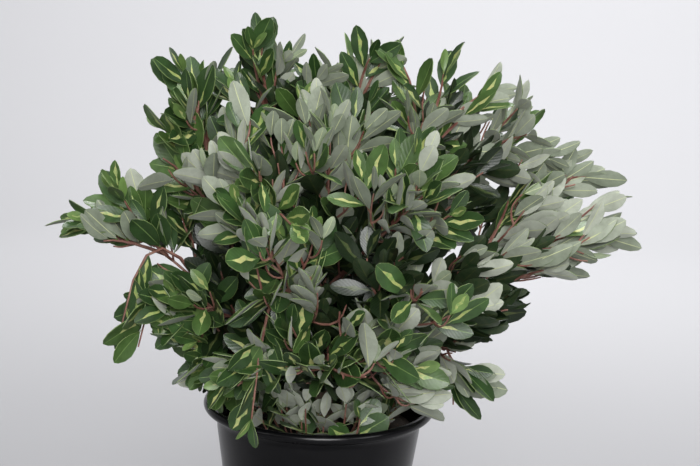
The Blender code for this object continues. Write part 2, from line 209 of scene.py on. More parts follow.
def make_cove():
    """A round floor that curves up into a wall all round."""
    bend = COVE_RADIUS - COVE_BEND
    profile = [(0, 0), (bend, 0)]
    for k in range(1, COVE_BEND_STEPS + 1):
        turn = math.radians(90 * k / COVE_BEND_STEPS)
        profile.append((bend + COVE_BEND * math.sin(turn), COVE_BEND * (1 - math.cos(turn))))
    profile.append((COVE_RADIUS, COVE_HEIGHT))
    body = spun(profile, COVE_STEPS, 1e-5)
    mesh = bpy.data.meshes.new("studio_cove")
    body.to_mesh(mesh)
    body.free()
    mesh.shade_smooth()
    mesh.materials.append(new_material("wall_paint", WALL_COLOUR, 0.9))
    cove = bpy.data.objects.new("studio_cove", mesh)
    bpy.context.scene.collection.objects.link(cove)
    return cove


print("cove faces:", len(make_cove().data.polygons))

# %% Lamps
CROWN_MIDDLE = (0, 0, 0.45)
# Each lamp's place, what it looks at, its side in metres and its power in watts
LAMPS = {
    "lamp_left": ((-2.2, -1.9, 1.9), CROWN_MIDDLE, 1.2, 10),
    "lamp_right": ((2.4, -1.9, 1.9), CROWN_MIDDLE, 1.2, 18),
    "lamp_front": ((0.3, -2.9, 1.7), CROWN_MIDDLE, 1.6, 94),
    "lamp_top": ((0.2, -0.9, 2.9), CROWN_MIDDLE, 1.4, 12),
    "lamp_wall": ((0.45, 1.4, 3.6), (0.55, 4.6, 0.9), 2.2, 466),
}
FILL_COLOUR = (0.93, 0.96, 1.0)
FILL_STRENGTH = 0.08


def soft_lamp(name, place, aim, size, watts):
    """A square area lamp that looks at a point."""
    light = bpy.data.lights.new(name, "AREA")
    light.size = size
    light.energy = watts
    lamp = bpy.data.objects.new(name, light)
    lamp.location = place
    lamp.rotation_euler = (Vector(aim) - Vector(place)).to_track_quat("-Z", "Y").to_euler()
    lamp.visible_camera = False
    bpy.context.scene.collection.objects.link(lamp)


def fill_light():
    """Even light from all round."""
    world = bpy.data.worlds.new("studio_air")
    world.use_nodes = True
    background = world.node_tree.nodes["Background"]
    background.inputs["Color"].default_value = (*FILL_COLOUR, 1)
    background.inputs["Strength"].default_value = FILL_STRENGTH
    bpy.context.scene.world = world


bpy.context.scene.view_settings.view_transform = "Standard"
for name, row in LAMPS.items():
    soft_lamp(name, *row)
fill_light()
print("studio lamps:", len(LAMPS))

# %% [markdown]
# ## The growth rule
#
# A shrub's boughs spread from a few stems, and each ends in a mass of leaves. The CAD model's
# limbs all come from one small rule: each mass has a bearing, a rise and a reach from the heart
# of the crown, and its limb is an arch from a stem's end to there. The places could be measured
# on the CAD model's meshes, but the rule also gives the line through each limb, which twigs and
# leaves need. So it is written again here, and they grow exactly where the solids stand.

# %% Sizes of the growth rule
POT_HEIGHT = 0.230
RIM_RADIUS = 0.140
POT_TOP_RADIUS = 0.127
POT_BASE_RADIUS = 0.095
POT_WALL = 0.0025
GAP = 0.0003
MIX_TOP = 0.200
MIX_FALL = 0.006
TRUNK_HEIGHT = 0.045
STEM_RADIUS = 0.0062
STEM_SHARE = 0.40
STEM_ARCH = 0.35
MIDDLE_STEM = "top"
BOUGH_RADIUS = 0.0020
BOUGH_SIGHT = 0.35
TIP_LEAF_REACH = 0.062
HEART = Vector((0, 0, 0.300))
# A direction that no limb has, to find directions square to one
NO_LIMB_WAY = Vector((0.31, 0.17, 0.94))
print("pot:", POT_HEIGHT, "m high and", 2 * RIM_RADIUS, "m across at the rim")

# %% The masses
# Bearing and rise in degrees, reach in metres, lift of the arch, leafy share of the limb, and
# spread of the side twigs in metres
CROWN = {
    "top": {
        "top_left": (170, 73, 0.380, -0.04, 0.72, 0.085),
        "top_right": (50, 82, 0.372, -0.04, 0.72, 0.090),
        "upper_right": (-6, 65, 0.368, -0.05, 0.72, 0.090),
        "right_high": (14, 51, 0.402, -0.05, 0.72, 0.080),
    },
    "right": {
        "right_sweep_high": (4, 39, 0.414, -0.06, 0.76, 0.085),
        "right_sweep_low": (-5, 30, 0.414, -0.07, 0.76, 0.080),
        "right_low": (-22, 22, 0.265, -0.04, 0.72, 0.080),
        "right_sprig": (-15, 3, 0.222, -0.08, 0.68, 0.050),
    },
    "front": {
        "front_low": (-56, 28, 0.290, -0.03, 0.72, 0.085),
        "front_rim": (-44, -3, 0.190, 0.06, 0.74, 0.070),
        "front_middle": (-86, 7, 0.235, 0.02, 0.78, 0.085),
        "front_hanging": (-124, -2, 0.228, 0.28, 0.72, 0.040),
        "front_left": (-108, 40, 0.305, -0.02, 0.72, 0.085),
    },
    "front_top": {
        "front_right": (-58, 48, 0.350, -0.04, 0.72, 0.090),
        "front_crown": (-88, 69, 0.345, -0.04, 0.72, 0.085),
        "front_high": (-126, 56, 0.340, -0.02, 0.72, 0.085),
    },
    "left": {
        "left_arm": (-176, 31, 0.328, 0.00, 0.72, 0.075),
        "left_high": (178, 61, 0.382, -0.04, 0.72, 0.080),
        "left_drooping": (-156, 13, 0.240, 0.26, 0.72, 0.055),
        "left_rim": (-162, -6, 0.190, 0.08, 0.70, 0.060),
    },
    "back": {
        "back_left": (138, 36, 0.345, -0.04, 0.74, 0.090),
        "back_high": (104, 62, 0.360, -0.04, 0.72, 0.090),
        "back_right": (44, 36, 0.355, -0.04, 0.74, 0.090),
        "back_middle": (90, 26, 0.330, -0.02, 0.74, 0.090),
        "back_low": (66, 2, 0.235, 0.05, 0.70, 0.070),
    },
}
print("masses:", sum(len(rows) for rows in CROWN.values()))


# %% Ways and curves
def from_heart(bearing, rise, reach):
    turn, up = math.radians(bearing), math.radians(rise)
    flat = math.cos(up)
    return HEART + reach * Vector((flat * math.cos(turn), flat * math.sin(turn), math.sin(up)))


def mix(first, second, share):
    return first + (second - first) * share


def bow(start, control, end, share):
    """A place on the smooth curve from start to end that a control point pulls aside."""
    return (1 - share) ** 2 * start + 2 * share * (1 - share) * control + share**2 * end


def bowed_line(start, control, end, count):
    return [bow(start, control, end, k / (count - 1)) for k in range(count)]


def arch(start, end, lift, share):
    """A place on a limb's arch, which is lifted in its middle by a share of its length."""
    return bow(start, (start + end) / 2 + UP * lift * (end - start).length, end, share)


def stem_line(start, tip, count):
    """A stem leaves the trunk upright, then leans over to its tip."""
    return bowed_line(start, start + UP * STEM_ARCH * (tip - start).length, tip, count)


def square_to(direction):
    """Two directions square to this one and to each other."""
    aside = direction.cross(NO_LIMB_WAY).normalized()
    return aside, direction.cross(aside).normalized()


# %% Seats round a limb's end
def dealt_round(direction, origin, targets, radius, clearance, hole=0.0):
    """Deals a ring of seats on a limb's end to the targets, each on its own side."""
    aside, across = square_to(direction)
    turns = {}
    for name, target in targets.items():
        way = target - origin
        turns[name] = math.atan2(way.dot(across), way.dot(aside)) % (2 * math.pi)
    order = sorted(turns, key=turns.get)
    step = 2 * math.pi / len(order)
    slack = [turns[name] - k * step for k, name in enumerate(order)]
    first = sum((turn + math.pi) % (2 * math.pi) - math.pi for turn in slack) / len(slack)
    out = max((radius + clearance) / math.sin(step / 2), hole + radius + clearance)
    placed = {}
    for k, name in enumerate(order):
        angle = first + k * step
        placed[name] = origin + out * (math.cos(angle) * aside + math.sin(angle) * across)
    return placed


def place_stems():
    """Each stem's foot on the trunk's head, and its tip on the way to its masses."""
    head = Vector((0, 0, MIX_TOP + GAP + TRUNK_HEIGHT + GAP))
    tips = {}
    for stem, rows in CROWN.items():
        ends = [from_heart(*row[:3]) for row in rows.values()]
        tips[stem] = mix(head, sum(ends, Vector()) / len(ends), STEM_SHARE)
    outer = {stem: tip for stem, tip in tips.items() if stem != MIDDLE_STEM}
    starts = dealt_round(Vector((0, 0, 1)), head, outer, STEM_RADIUS, GAP, hole=STEM_RADIUS)
    starts[MIDDLE_STEM] = head
    return {stem: (starts[stem], tips[stem]) for stem in CROWN}


# %% One mass
class Mass:
    """One mass of leaves on its arched limb, as the CAD model has it."""

    def __init__(self, number, stem, name, row, start):
        bearing, rise, reach, self.lift, self.leafy, self.spread = row
        self.number = number
        self.stem = stem
        self.name = name
        self.start = start
        self.end = from_heart(bearing, rise, reach - TIP_LEAF_REACH)
        self.length = (self.end - start).length
        self.fork = 1 - self.leafy

    def at(self, share):
        return arch(self.start, self.end, self.lift, share)

    def direction(self, share):
        step = 0.01
        return (self.at(share + step) - self.at(share - step)).normalized()


# %% Lay out stems and masses
# The CAD model's stems end in a short straight run, whose heading its seats are square to
CAD_LIMB_POINTS = 3
stems = place_stems()
headings = {}
masses = []
for stem, (start, tip) in stems.items():
    cad_line = stem_line(start, tip, CAD_LIMB_POINTS)
    heading = (cad_line[-1] - cad_line[-2]).normalized()
    headings[stem] = heading
    seat_centre = tip + GAP * heading
    targets = {}
    for name, (bearing, rise, reach, lift, *_) in CROWN[stem].items():
        targets[name] = arch(seat_centre, from_heart(bearing, rise, reach), lift, BOUGH_SIGHT)
    seats = dealt_round(heading, seat_centre, targets, BOUGH_RADIUS, GAP)
    for name, row in CROWN[stem].items():
        masses.append(Mass(len(masses), stem, name, row, seats[name]))
print("stems:", len(stems), "masses:", len(masses))

# %% [markdown]
# ## Tubes for limbs and twigs
#
# Every limb is a long, thinning tube. A curve with a bevel would make one too, but the bark's
# ridges need each ring on its own. So a limb starts as a short tube, made once with bmesh
# operators: a capped cylinder whose long edges are cut into rings. Bending it along a line moves
# each ring to its place, and a little noise on the radius gives the ridges. Hundreds of twigs
# are bent from one such tube with fewer sides and poured together into one mesh.


# %% Shapes as arrays
class Shape:
    """A small mesh as arrays: corner places, face corners, corners per face, slots and a UV."""

    def __init__(self, body, uv=None):
        body.verts.ensure_lookup_table()
        self.places = np.array([v.co for v in body.verts])
        self.corners = np.array([v.index for face in body.faces for v in face.verts])
        self.counts = np.array([len(face.verts) for face in body.faces])
        self.slots = np.array([face.material_index for face in body.faces])
        self.uv = uv if uv is not None else np.zeros((len(self.places), 2))

    def moved(self, places, slots=None):
        """The same faces with other corner places."""
        other = object.__new__(Shape)
        other.places, other.uv = places, self.uv
        other.corners, other.counts = self.corners, self.counts
        other.slots = self.slots if slots is None else slots
        return other


# %% Pour shapes into a piece
def finished(name, mesh, nodes):
    """Puts a mesh in the scene as a piece of the object that stands for these CAD nodes."""
    piece = bpy.data.objects.new(name, mesh)
    bpy.context.scene.collection.objects.link(piece)
    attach(piece, "root")
    if nodes:
        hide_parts(*nodes)
    print(f"{name}: {sum(len(face.vertices) - 2 for face in mesh.polygons)} triangles")
    return piece


def joined(shapes, part):
    """One array of a part of all the shapes."""
    return np.concatenate([getattr(shape, part) for shape in shapes])


def pour(name, shapes, finishes, nodes, sharp=60):
    """Joins shapes into one piece."""
    starts = np.cumsum([0] + [len(shape.places) for shape in shapes[:-1]])
    places = joined(shapes, "places")
    corners = np.concatenate([shape.corners + start for shape, start in zip(shapes, starts)])
    counts = joined(shapes, "counts")
    first_corners = np.cumsum(np.concatenate([[0], counts[:-1]]))
    mesh = bpy.data.meshes.new(name)
    mesh.vertices.add(len(places))
    mesh.vertices.foreach_set("co", places.astype(np.float32).ravel())
    mesh.loops.add(len(corners))
    mesh.loops.foreach_set("vertex_index", corners.astype(np.int32))
    mesh.polygons.add(len(counts))
    mesh.polygons.foreach_set("loop_start", first_corners.astype(np.int32))
    mesh.polygons.foreach_set("material_index", joined(shapes, "slots").astype(np.int32))
    layer = mesh.uv_layers.new(name="blade")
    layer.data.foreach_set("uv", joined(shapes, "uv")[corners].astype(np.float32).ravel())
    for finish in finishes:
        mesh.materials.append(finish)
    mesh.update(calc_edges=True)
    mesh.shade_smooth()
    mesh.set_sharp_from_angle(angle=math.radians(sharp))
    return finished(name, mesh, nodes)


# %% Bend a tube
def tube_shape(sides, rings):
    """A capped tube of radius 1 along Z from 0 to 1, cut into rings."""
    body = bmesh.new()
    middle = Matrix.Translation((0, 0, 0.5))
    bmesh.ops.create_cone(
        body, cap_ends=True, segments=sides, radius1=1, radius2=1, depth=1, matrix=middle
    )
    long_edges = [e for e in body.edges if abs(e.verts[0].co.z - e.verts[1].co.z) > 0.5]
    bmesh.ops.subdivide_edges(body, edges=long_edges, cuts=rings - 1, use_grid_fill=True)
    bmesh.ops.recalc_face_normals(body, faces=body.faces)
    shape = Shape(body)
    body.free()
    return shape


def length_of(line):
    return sum((b - a).length for a, b in zip(line, line[1:]))


def along(line, share):
    """The place and direction at this share of a line of points."""
    run = min(int(share * (len(line) - 1)), len(line) - 2)
    rest = share * (len(line) - 1) - run
    before, after = line[max(run - 1, 0)], line[min(run + 2, len(line) - 1)]
    first, second = line[run], line[run + 1]
    heading = mix(second - before, after - first, rest)
    return mix(first, second, rest), heading.normalized()


def bent(shape, line, radius_at, relief=None):
    """The tube bent along a line; relief(turn, metres) gives a share to add to its radius."""
    levels = sorted({round(z, 5) for z in shape.places[:, 2].tolist()})
    length = length_of(line)
    aside = None
    rings = {}
    for level in levels:
        centre, heading = along(line, level)
        if aside is None:
            aside = square_to(heading)[0]
        aside = (aside - aside.dot(heading) * heading).normalized()
        rings[level] = (centre, aside, heading.cross(aside), radius_at(level))
    places = np.empty_like(shape.places)
    for number, (x, y, z) in enumerate(shape.places.tolist()):
        centre, first, second, radius = rings[round(z, 5)]
        if relief:
            radius *= 1 + relief(math.atan2(y, x), z * length)
        places[number] = centre + radius * (x * first + y * second)
    return shape.moved(places)


# %% [markdown]
# ## Bark
#
# The old wood low in the shrub is grey-brown and cracked along its length. The young twigs are
# smooth, from dark red-brown to a warm pinkish brown. A picture of bark could be wrapped round
# each limb, but its seams would show. Both finishes are noise in the object's own space instead,
# which has no seams. The deep ridges of the trunk are real relief in the mesh.

# %% Bark materials
OLD_BARK = (0.115, 0.075, 0.052)
OLD_BARK_PALE = (0.26, 0.20, 0.15)
YOUNG_BARK = (0.175, 0.062, 0.048)
YOUNG_BARK_PALE = (0.33, 0.178, 0.135)


def make_old_bark():
    made = new_material("old_bark", OLD_BARK, 0.85)
    ridges = grain(made, 140, detail=6, roughness=0.7)
    feed(made, "Base Color", ramp(made, ridges, (0.32, OLD_BARK), (0.68, OLD_BARK_PALE)))
    feed(made, "Roughness", span(made, ridges, 0.75, 0.95))
    rough_surface(made, grain(made, 420, detail=5), 0.5 * MM)
    return made


def make_young_bark():
    made = new_material("young_bark", YOUNG_BARK, 0.55)
    clouds = grain(made, 60, detail=3)
    feed(made, "Base Color", ramp(made, clouds, (0.36, YOUNG_BARK), (0.66, YOUNG_BARK_PALE)))
    feed(made, "Roughness", span(made, clouds, 0.48, 0.68))
    rough_surface(made, grain(made, 900, detail=3), 0.12 * MM)
    return made


old_bark = make_old_bark()
young_bark = make_young_bark()
print("bark finishes:", old_bark.name, young_bark.name)

# %% [markdown]
# ## Trunk and stems
#
# The trunk is a short stool that flares into the mix, with root lobes at its foot and a swollen
# head, where six stems leave it nearly upright. They could be sculpted by hand, but a bent tube
# is easier to change later: a function of the height gives its thickness, and noise round and
# along it gives real ridges, which a bump in the finish would not show on the outline.

# %% Trunk
TRUNK_RADIUS = 0.016
TRUNK_TOP_RADIUS = 0.020
FLARE_RADIUS = 0.027
FLARE_LOBES = 5
LOBE_DEPTH = 0.07
RIDGE_DEPTH = 0.10
# Room under the CAD model's own radius for the ridges
TRUNK_FILL = 0.97
TRUNK_POINTS = 5


def trunk_radius(share):
    """Root flare at the foot, a waist, and a swollen head under the stems."""
    flare = (FLARE_RADIUS - TRUNK_RADIUS) * (1 - share) ** 3
    head = (TRUNK_TOP_RADIUS - TRUNK_RADIUS) * share**3
    return TRUNK_FILL * (TRUNK_RADIUS + flare + head)


def trunk_relief(turn, height):
    """Root lobes near the foot, and long ridges all the way up."""
    foot = max(0, 1 - height / TRUNK_HEIGHT)
    lobes = LOBE_DEPTH * foot**2 * math.cos(FLARE_LOBES * turn + 0.6)
    spot = Vector((math.cos(turn) * 2.2, math.sin(turn) * 2.2, height * 45))
    return lobes + RIDGE_DEPTH * (abs(noise.noise(spot * 1.6)) - 0.4)


trunk_foot = Vector((0, 0, MIX_TOP + GAP))
trunk_line = [trunk_foot + UP * TRUNK_HEIGHT * k / (TRUNK_POINTS - 1) for k in range(TRUNK_POINTS)]
trunk = bent(tube_shape(40, 26), trunk_line, trunk_radius, trunk_relief)
pour("trunk_bark", [trunk], [old_bark], ["trunk"])

# %% Stems
STEM_FILL = 0.93
STEM_COLLAR = 0.10
STEM_KNUCKLE = 0.08
KNUCKLE_PLACE = 0.96
stem_tube = tube_shape(16, 40)


def stem_radius(share):
    """Nearly even, with a collar at the foot and a knuckle where the boughs leave."""
    collar = STEM_COLLAR * math.exp(-((share / 0.05) ** 2))
    knuckle = STEM_KNUCKLE * math.exp(-(((share - KNUCKLE_PLACE) / 0.05) ** 2))
    return STEM_RADIUS * (STEM_FILL + collar + knuckle)


def stem_relief(turn, height):
    spot = Vector((math.cos(turn) * 1.3, math.sin(turn) * 1.3, height * 60))
    return RIDGE_DEPTH * noise.noise(spot * 1.5)


stem_shapes = [bent(stem_tube, stem_line(*ends, 24), stem_radius, stem_relief) for ends in stems.values()]
pour("stem_bark", stem_shapes, [old_bark], [f"stem_{stem}" for stem in stems])

# %% [markdown]
# ## Boughs and leafy shoots
#
# Each bough and the leafy shoot at its end are one long arch, as they are on the plant. Two
# tubes would need a joint between them that doesn't show. One tube has none: it thins all the
# way, with small knuckles where leaves have been.

# %% Boughs and shoots
SHOOT_RADIUS = 0.0018
SHOOT_EXTENSION = 1.06
COLLAR_LENGTH = 0.005
LIMB_STEPS = 18
LIMB_KNUCKLE = 0.08
KNUCKLE_WAVE = 90
LIMB_TIP = 0.55
bough_tube = tube_shape(10, 44)


def limb_line(mass):
    """From the bough's seat on its stem to the shoot's tip."""
    points = []
    for k in range(LIMB_STEPS):
        share = SHOOT_EXTENSION * k / (LIMB_STEPS - 1)
        collar = max(0, 1 - share / mass.fork) * share / mass.fork
        points.append(mass.at(share) + COLLAR_LENGTH * collar * headings[mass.stem])
    points[0] -= 2 * MM * headings[mass.stem]
    return points


def limb_radius(share):
    knuckles = LIMB_KNUCKLE * max(0, math.sin(share * KNUCKLE_WAVE)) ** 4
    return mix(BOUGH_RADIUS, LIMB_TIP * SHOOT_RADIUS, share**1.4) * (1 + knuckles)


limb_shapes = [bent(bough_tube, limb_line(mass), limb_radius) for mass in masses]
pour("bough_bark", limb_shapes, [young_bark], [f"bough_{mass.name}" for mass in masses])

# %% [markdown]
# ## Twigs
#
# Side twigs leave each shoot at the golden angle, so that none stands right over another, and each
# of them carries shorter, finer twigs of its own. That is how the real crown fills up. Hair or
# scattered copies could fill it too, but neither keeps to the golden angle. A twig is kept as a
# line of points at first, because its leaves need the line more than its wood.

# %% Twigs
GOLDEN_TURN = math.radians(137.5)
STRAY = 0.12
TWIG_CURL = 0.35


class Twig:
    """A twig: its line of points, its thickness and bare length at the foot, and how it is dressed.

    Its kind is "leader", "side", "inner" or "foot". Dark gaps open among the side twigs only, the
    inner ones have nearly black leaves as painted shade, and the undersides at the foot are painted
    paler, as painted light. A given face is which way the leaves' upper sides look.
    """

    def __init__(self, line, radius, bare, kind="leader", face=None):
        self.line, self.radius, self.bare, self.kind, self.face = line, radius, bare, kind, face
        self.length = length_of(line)


def varied(dice):
    """A factor a little under or over 1."""
    return dice.uniform(1 - STRAY, 1 + STRAY)


def curved(root, elbow, tip, count=6):
    """A smooth line from a root by way of an elbow to a tip."""
    return bowed_line(root, 2 * elbow - (root + tip) / 2, tip, count)


def grown_twig(root, forward, turn, length, spread, pull, radius, bare, kind="side"):
    """A twig that leaves a limb at this turn and spread, and bends forwards and along the pull."""
    aside, across = square_to(forward)
    outward = math.cos(turn) * aside + math.sin(turn) * across
    way = math.cos(spread) * forward + math.sin(spread) * outward
    bend = (mix(way, forward, TWIG_CURL) + pull).normalized()
    elbow = root + 0.5 * length * way
    return Twig(curved(root, elbow, elbow + 0.5 * length * bend), radius, bare, kind)


# %% Side twigs
TWIGS = 6
TWIG_SPREAD = math.radians(46)
TWIG_LIFT = 0.22
FIRST_TWIG, LAST_TWIG = 0.10, 0.80
FIRST_TWIG_LENGTH, LAST_TWIG_LENGTH = 1.15, 0.55
TWIG_RADIUS, TWIG_BARE = 1.8 * MM, 12 * MM


def side_twigs(mass, dice):
    """The CAD model's own side twigs, round the shoot at the golden angle."""
    made = []
    phase = dice.uniform(0, 2 * math.pi)
    for k in range(TWIGS):
        on_shoot = mix(FIRST_TWIG, LAST_TWIG, k / (TWIGS - 1))
        share = mix(mass.fork, 1, on_shoot)
        root, forward = mass.at(share), mass.direction(share)
        spread = TWIG_SPREAD * varied(dice)
        length = mass.spread * mix(FIRST_TWIG_LENGTH, LAST_TWIG_LENGTH, on_shoot) * varied(dice)
        turn = phase + k * GOLDEN_TURN
        pull = TWIG_LIFT * UP
        made.append(grown_twig(root, forward, turn, length, spread, pull, TWIG_RADIUS, TWIG_BARE))
    return made


# %% Fine twigs
FINE_SPREAD = math.radians(40)
FINE_RADIUS, FINE_BARE = 1.45 * MM, 8 * MM
LAST_FINE_LENGTH = 0.7


def fine_twigs(line, count, length, pull, dice, first=0.22, last=0.80, kind="side"):
    """Shorter twigs along a line, round it at the golden angle."""
    made = []
    phase = dice.uniform(0, 2 * math.pi)
    for k in range(count):
        share = mix(first, last, (k + dice.uniform(0.2, 0.8)) / count)
        root, forward = along(line, share)
        long = length * mix(1.0, LAST_FINE_LENGTH, share) * varied(dice)
        turn = phase + k * GOLDEN_TURN
        spread = FINE_SPREAD * varied(dice)
        made.append(grown_twig(root, forward, turn, long, spread, pull, FINE_RADIUS, FINE_BARE, kind))
    return made


# %% [markdown]
# ## Sprigs at the outline
#
# A rule alone gives a round, even crown. The real one has young shoots that stand out of it, arch
# over at the left and hang down in front of the pot. More chance in the rule would put them
# anywhere, so these few are listed one by one, each from a place on its mass's limb to a tip that
# was read off the photograph. They grow before the other twigs, while there is room for all of
# their leaves.

# %% Sprigs
TO_FRONT = Vector((0.1, -1, 0.3))
TO_BACK = Vector((0.1, 1, -0.1))
SPRIG_RADIUS = 2.6 * MM
SPRIG_BARE = 12 * MM
SPRIG_BOW = 0.12
# From which mass, at which share of its limb, the tip, and which way the leaves' upper sides
# look, if that is set. Some also have how far they rise on the way, and their foot's bare length
SPRIGS = (
    ("left_high", 0.75, (-0.168, -0.020, 0.618), TO_FRONT),
    ("left_high", 0.82, (-0.138, 0.010, 0.622), None),
    ("top_left", 0.80, (-0.080, -0.010, 0.655), None),
    ("top_left", 0.85, (-0.090, -0.020, 0.648), TO_FRONT),
    ("top_left", 0.60, (-0.012, -0.020, 0.620), TO_BACK),
    ("top_left", 0.75, (-0.060, -0.010, 0.632), None),
    ("top_right", 0.55, (-0.020, -0.010, 0.612), TO_FRONT),
    ("top_left", 0.85, (-0.052, 0.025, 0.636), TO_BACK),
    ("top_right", 0.80, (0.062, 0.010, 0.642), None),
    ("upper_right", 0.78, (0.130, -0.010, 0.628), None),
    ("upper_right", 0.85, (0.184, 0.000, 0.610), TO_BACK),
    ("upper_right", 0.65, (0.176, -0.010, 0.596), TO_FRONT),
    ("upper_right", 0.70, (0.084, -0.010, 0.634), TO_FRONT),
    ("top_right", 0.85, (0.044, 0.000, 0.642), TO_FRONT),
    ("right_high", 0.82, (0.220, 0.010, 0.590), TO_BACK),
    ("right_high", 0.75, (0.230, -0.010, 0.562), TO_BACK),
    ("right_high", 0.60, (0.226, -0.010, 0.520), TO_BACK),
    ("right_high", 0.70, (0.258, 0.000, 0.535), TO_BACK),
    ("right_sweep_high", 0.85, (0.305, 0.000, 0.515), TO_BACK),
    ("right_sweep_high", 0.45, (0.215, 0.000, 0.482), TO_FRONT),
    ("right_sweep_high", 0.55, (0.245, 0.020, 0.500), TO_BACK),
    ("left_arm", 0.80, (-0.268, -0.030, 0.447), TO_FRONT),
    ("left_arm", 0.90, (-0.282, -0.010, 0.440), TO_FRONT),
    ("left_high", 0.45, (-0.190, -0.030, 0.520), TO_FRONT),
    ("left_high", 0.55, (-0.190, -0.020, 0.552), TO_FRONT),
    ("left_arm", 0.75, (-0.240, -0.030, 0.480), TO_FRONT),
    ("left_arm", 0.70, (-0.232, -0.040, 0.470), TO_FRONT),
    ("left_arm", 0.72, (-0.254, -0.050, 0.424), TO_BACK),
    ("left_arm", 0.42, (-0.226, -0.080, 0.336), TO_FRONT, 0.055, 45 * MM),
    ("left_arm", 0.30, (-0.205, -0.095, 0.312), TO_FRONT, 0.045, 45 * MM),
    ("left_high", 0.30, (-0.180, -0.100, 0.310), TO_FRONT, 0.030, 50 * MM),
    ("right_sweep_low", 0.80, (0.320, -0.035, 0.452), TO_BACK),
    ("right_sweep_low", 0.72, (0.298, -0.055, 0.432), TO_BACK),
    ("right_sweep_low", 0.30, (0.250, -0.075, 0.415), TO_BACK, 0, 30 * MM),
    ("right_sprig", 0.30, (0.178, -0.020, 0.258), TO_BACK, -0.010, 20 * MM),
    ("right_sprig", 0.45, (0.160, -0.035, 0.240), TO_FRONT, 0, 20 * MM),
    ("front_left", 0.45, (-0.069, -0.170, 0.258), TO_FRONT, 0.065, 45 * MM),
    ("front_right", 0.30, (0.088, -0.195, 0.496), TO_BACK, 0, 60 * MM),
    ("front_high", 0.60, (-0.032, -0.200, 0.478), TO_FRONT, 0, 25 * MM),
)


def sprig(mass, share, tip, face, rise=0, bare=SPRIG_BARE):
    """A young shoot that leaves its mass's shoot forwards and bends over to its tip."""
    root, forward = mass.at(share), mass.direction(share)
    tip = Vector(tip)
    elbow = mix(root, tip, 0.5) + SPRIG_BOW * (tip - root).length * forward + rise * UP
    return Twig(curved(root, elbow, tip, 10), SPRIG_RADIUS, bare, face=face)


print("hand-placed sprigs:", len(SPRIGS))


# %% [markdown]
# ## Shoots from the foot
#
# Round silver leaves stand behind the rim all round and hide the potting mix. Leaves on the
# lowest boughs could hang down to there, but they would point the wrong way. So these belong to
# short young shoots that come up through the mix. The golden angle deals the shoots evenly round
# the pot, and most of them have their leaves' undersides outwards.

# %% Shoots from the foot
FOOT_SHOOTS = 54
TURNED_FOOT_SHOOTS = 0.8
FOOT_REACH = (0.062, 0.104)
FOOT_RISE = (22 * MM, 52 * MM)
FOOT_LEAN = 0.020
FOOT_DEPTH = 10 * MM
FOOT_RADIUS, FOOT_BARE = 1.1 * MM, 12 * MM


def foot_shoot(number, dice):
    """Out of the mix and nearly straight up, just inside the rim."""
    bearing = number * GOLDEN_TURN + dice.uniform(-0.1, 0.1)
    out = Vector((math.cos(bearing), math.sin(bearing), 0))
    reach = dice.uniform(*FOOT_REACH)
    root = (reach - FOOT_LEAN) * out + (MIX_TOP - FOOT_DEPTH) * UP
    tip = reach * out + (MIX_TOP + dice.uniform(*FOOT_RISE)) * UP
    elbow = mix(root, tip, 0.5) + 3 * MM * out
    face = -out if dice.random() < TURNED_FOOT_SHOOTS else out
    return Twig(curved(root, elbow, tip), FOOT_RADIUS, FOOT_BARE, "foot", face)


# %% [markdown]
# ## Room for leaves
#
# A leaf may not cut through the pot or sink into the mix, and leaves keep a little apart. Whole
# meshes could be tested for overlaps, but that is slow for thousands of leaves. The pot is round,
# so a height and a radius settle the first. For the second, each leaf's middle is kept in a
# coarse grid of small boxes, and only the boxes round a new leaf are searched. The crown also
# has bays where the wall shows between the sprays, and no leaf may close one.

# %% Clear of the pot and inside the box
LEAN = (POT_TOP_RADIUS - POT_BASE_RADIUS) / POT_HEIGHT
POT_MARGIN = 4 * MM
# No leaf reaches further than this beyond the CAD model's box
OUTER_MARGIN = 18 * MM


def in_pot(place):
    """True for a place in or too near the pot's wall, its rim or the mix."""
    if place.z > POT_HEIGHT + POT_MARGIN:
        return False
    out = math.hypot(place.x, place.y)
    inner = POT_BASE_RADIUS + LEAN * place.z - POT_WALL - POT_MARGIN
    if out < inner:
        return place.z < MIX_TOP + POT_MARGIN
    return out < RIM_RADIUS + POT_MARGIN


def outside(place):
    """True for a place too far beyond the CAD model's box."""
    low, high = cad_box
    return any(place[k] < low[k] - OUTER_MARGIN or place[k] > high[k] + OUTER_MARGIN for k in range(3))


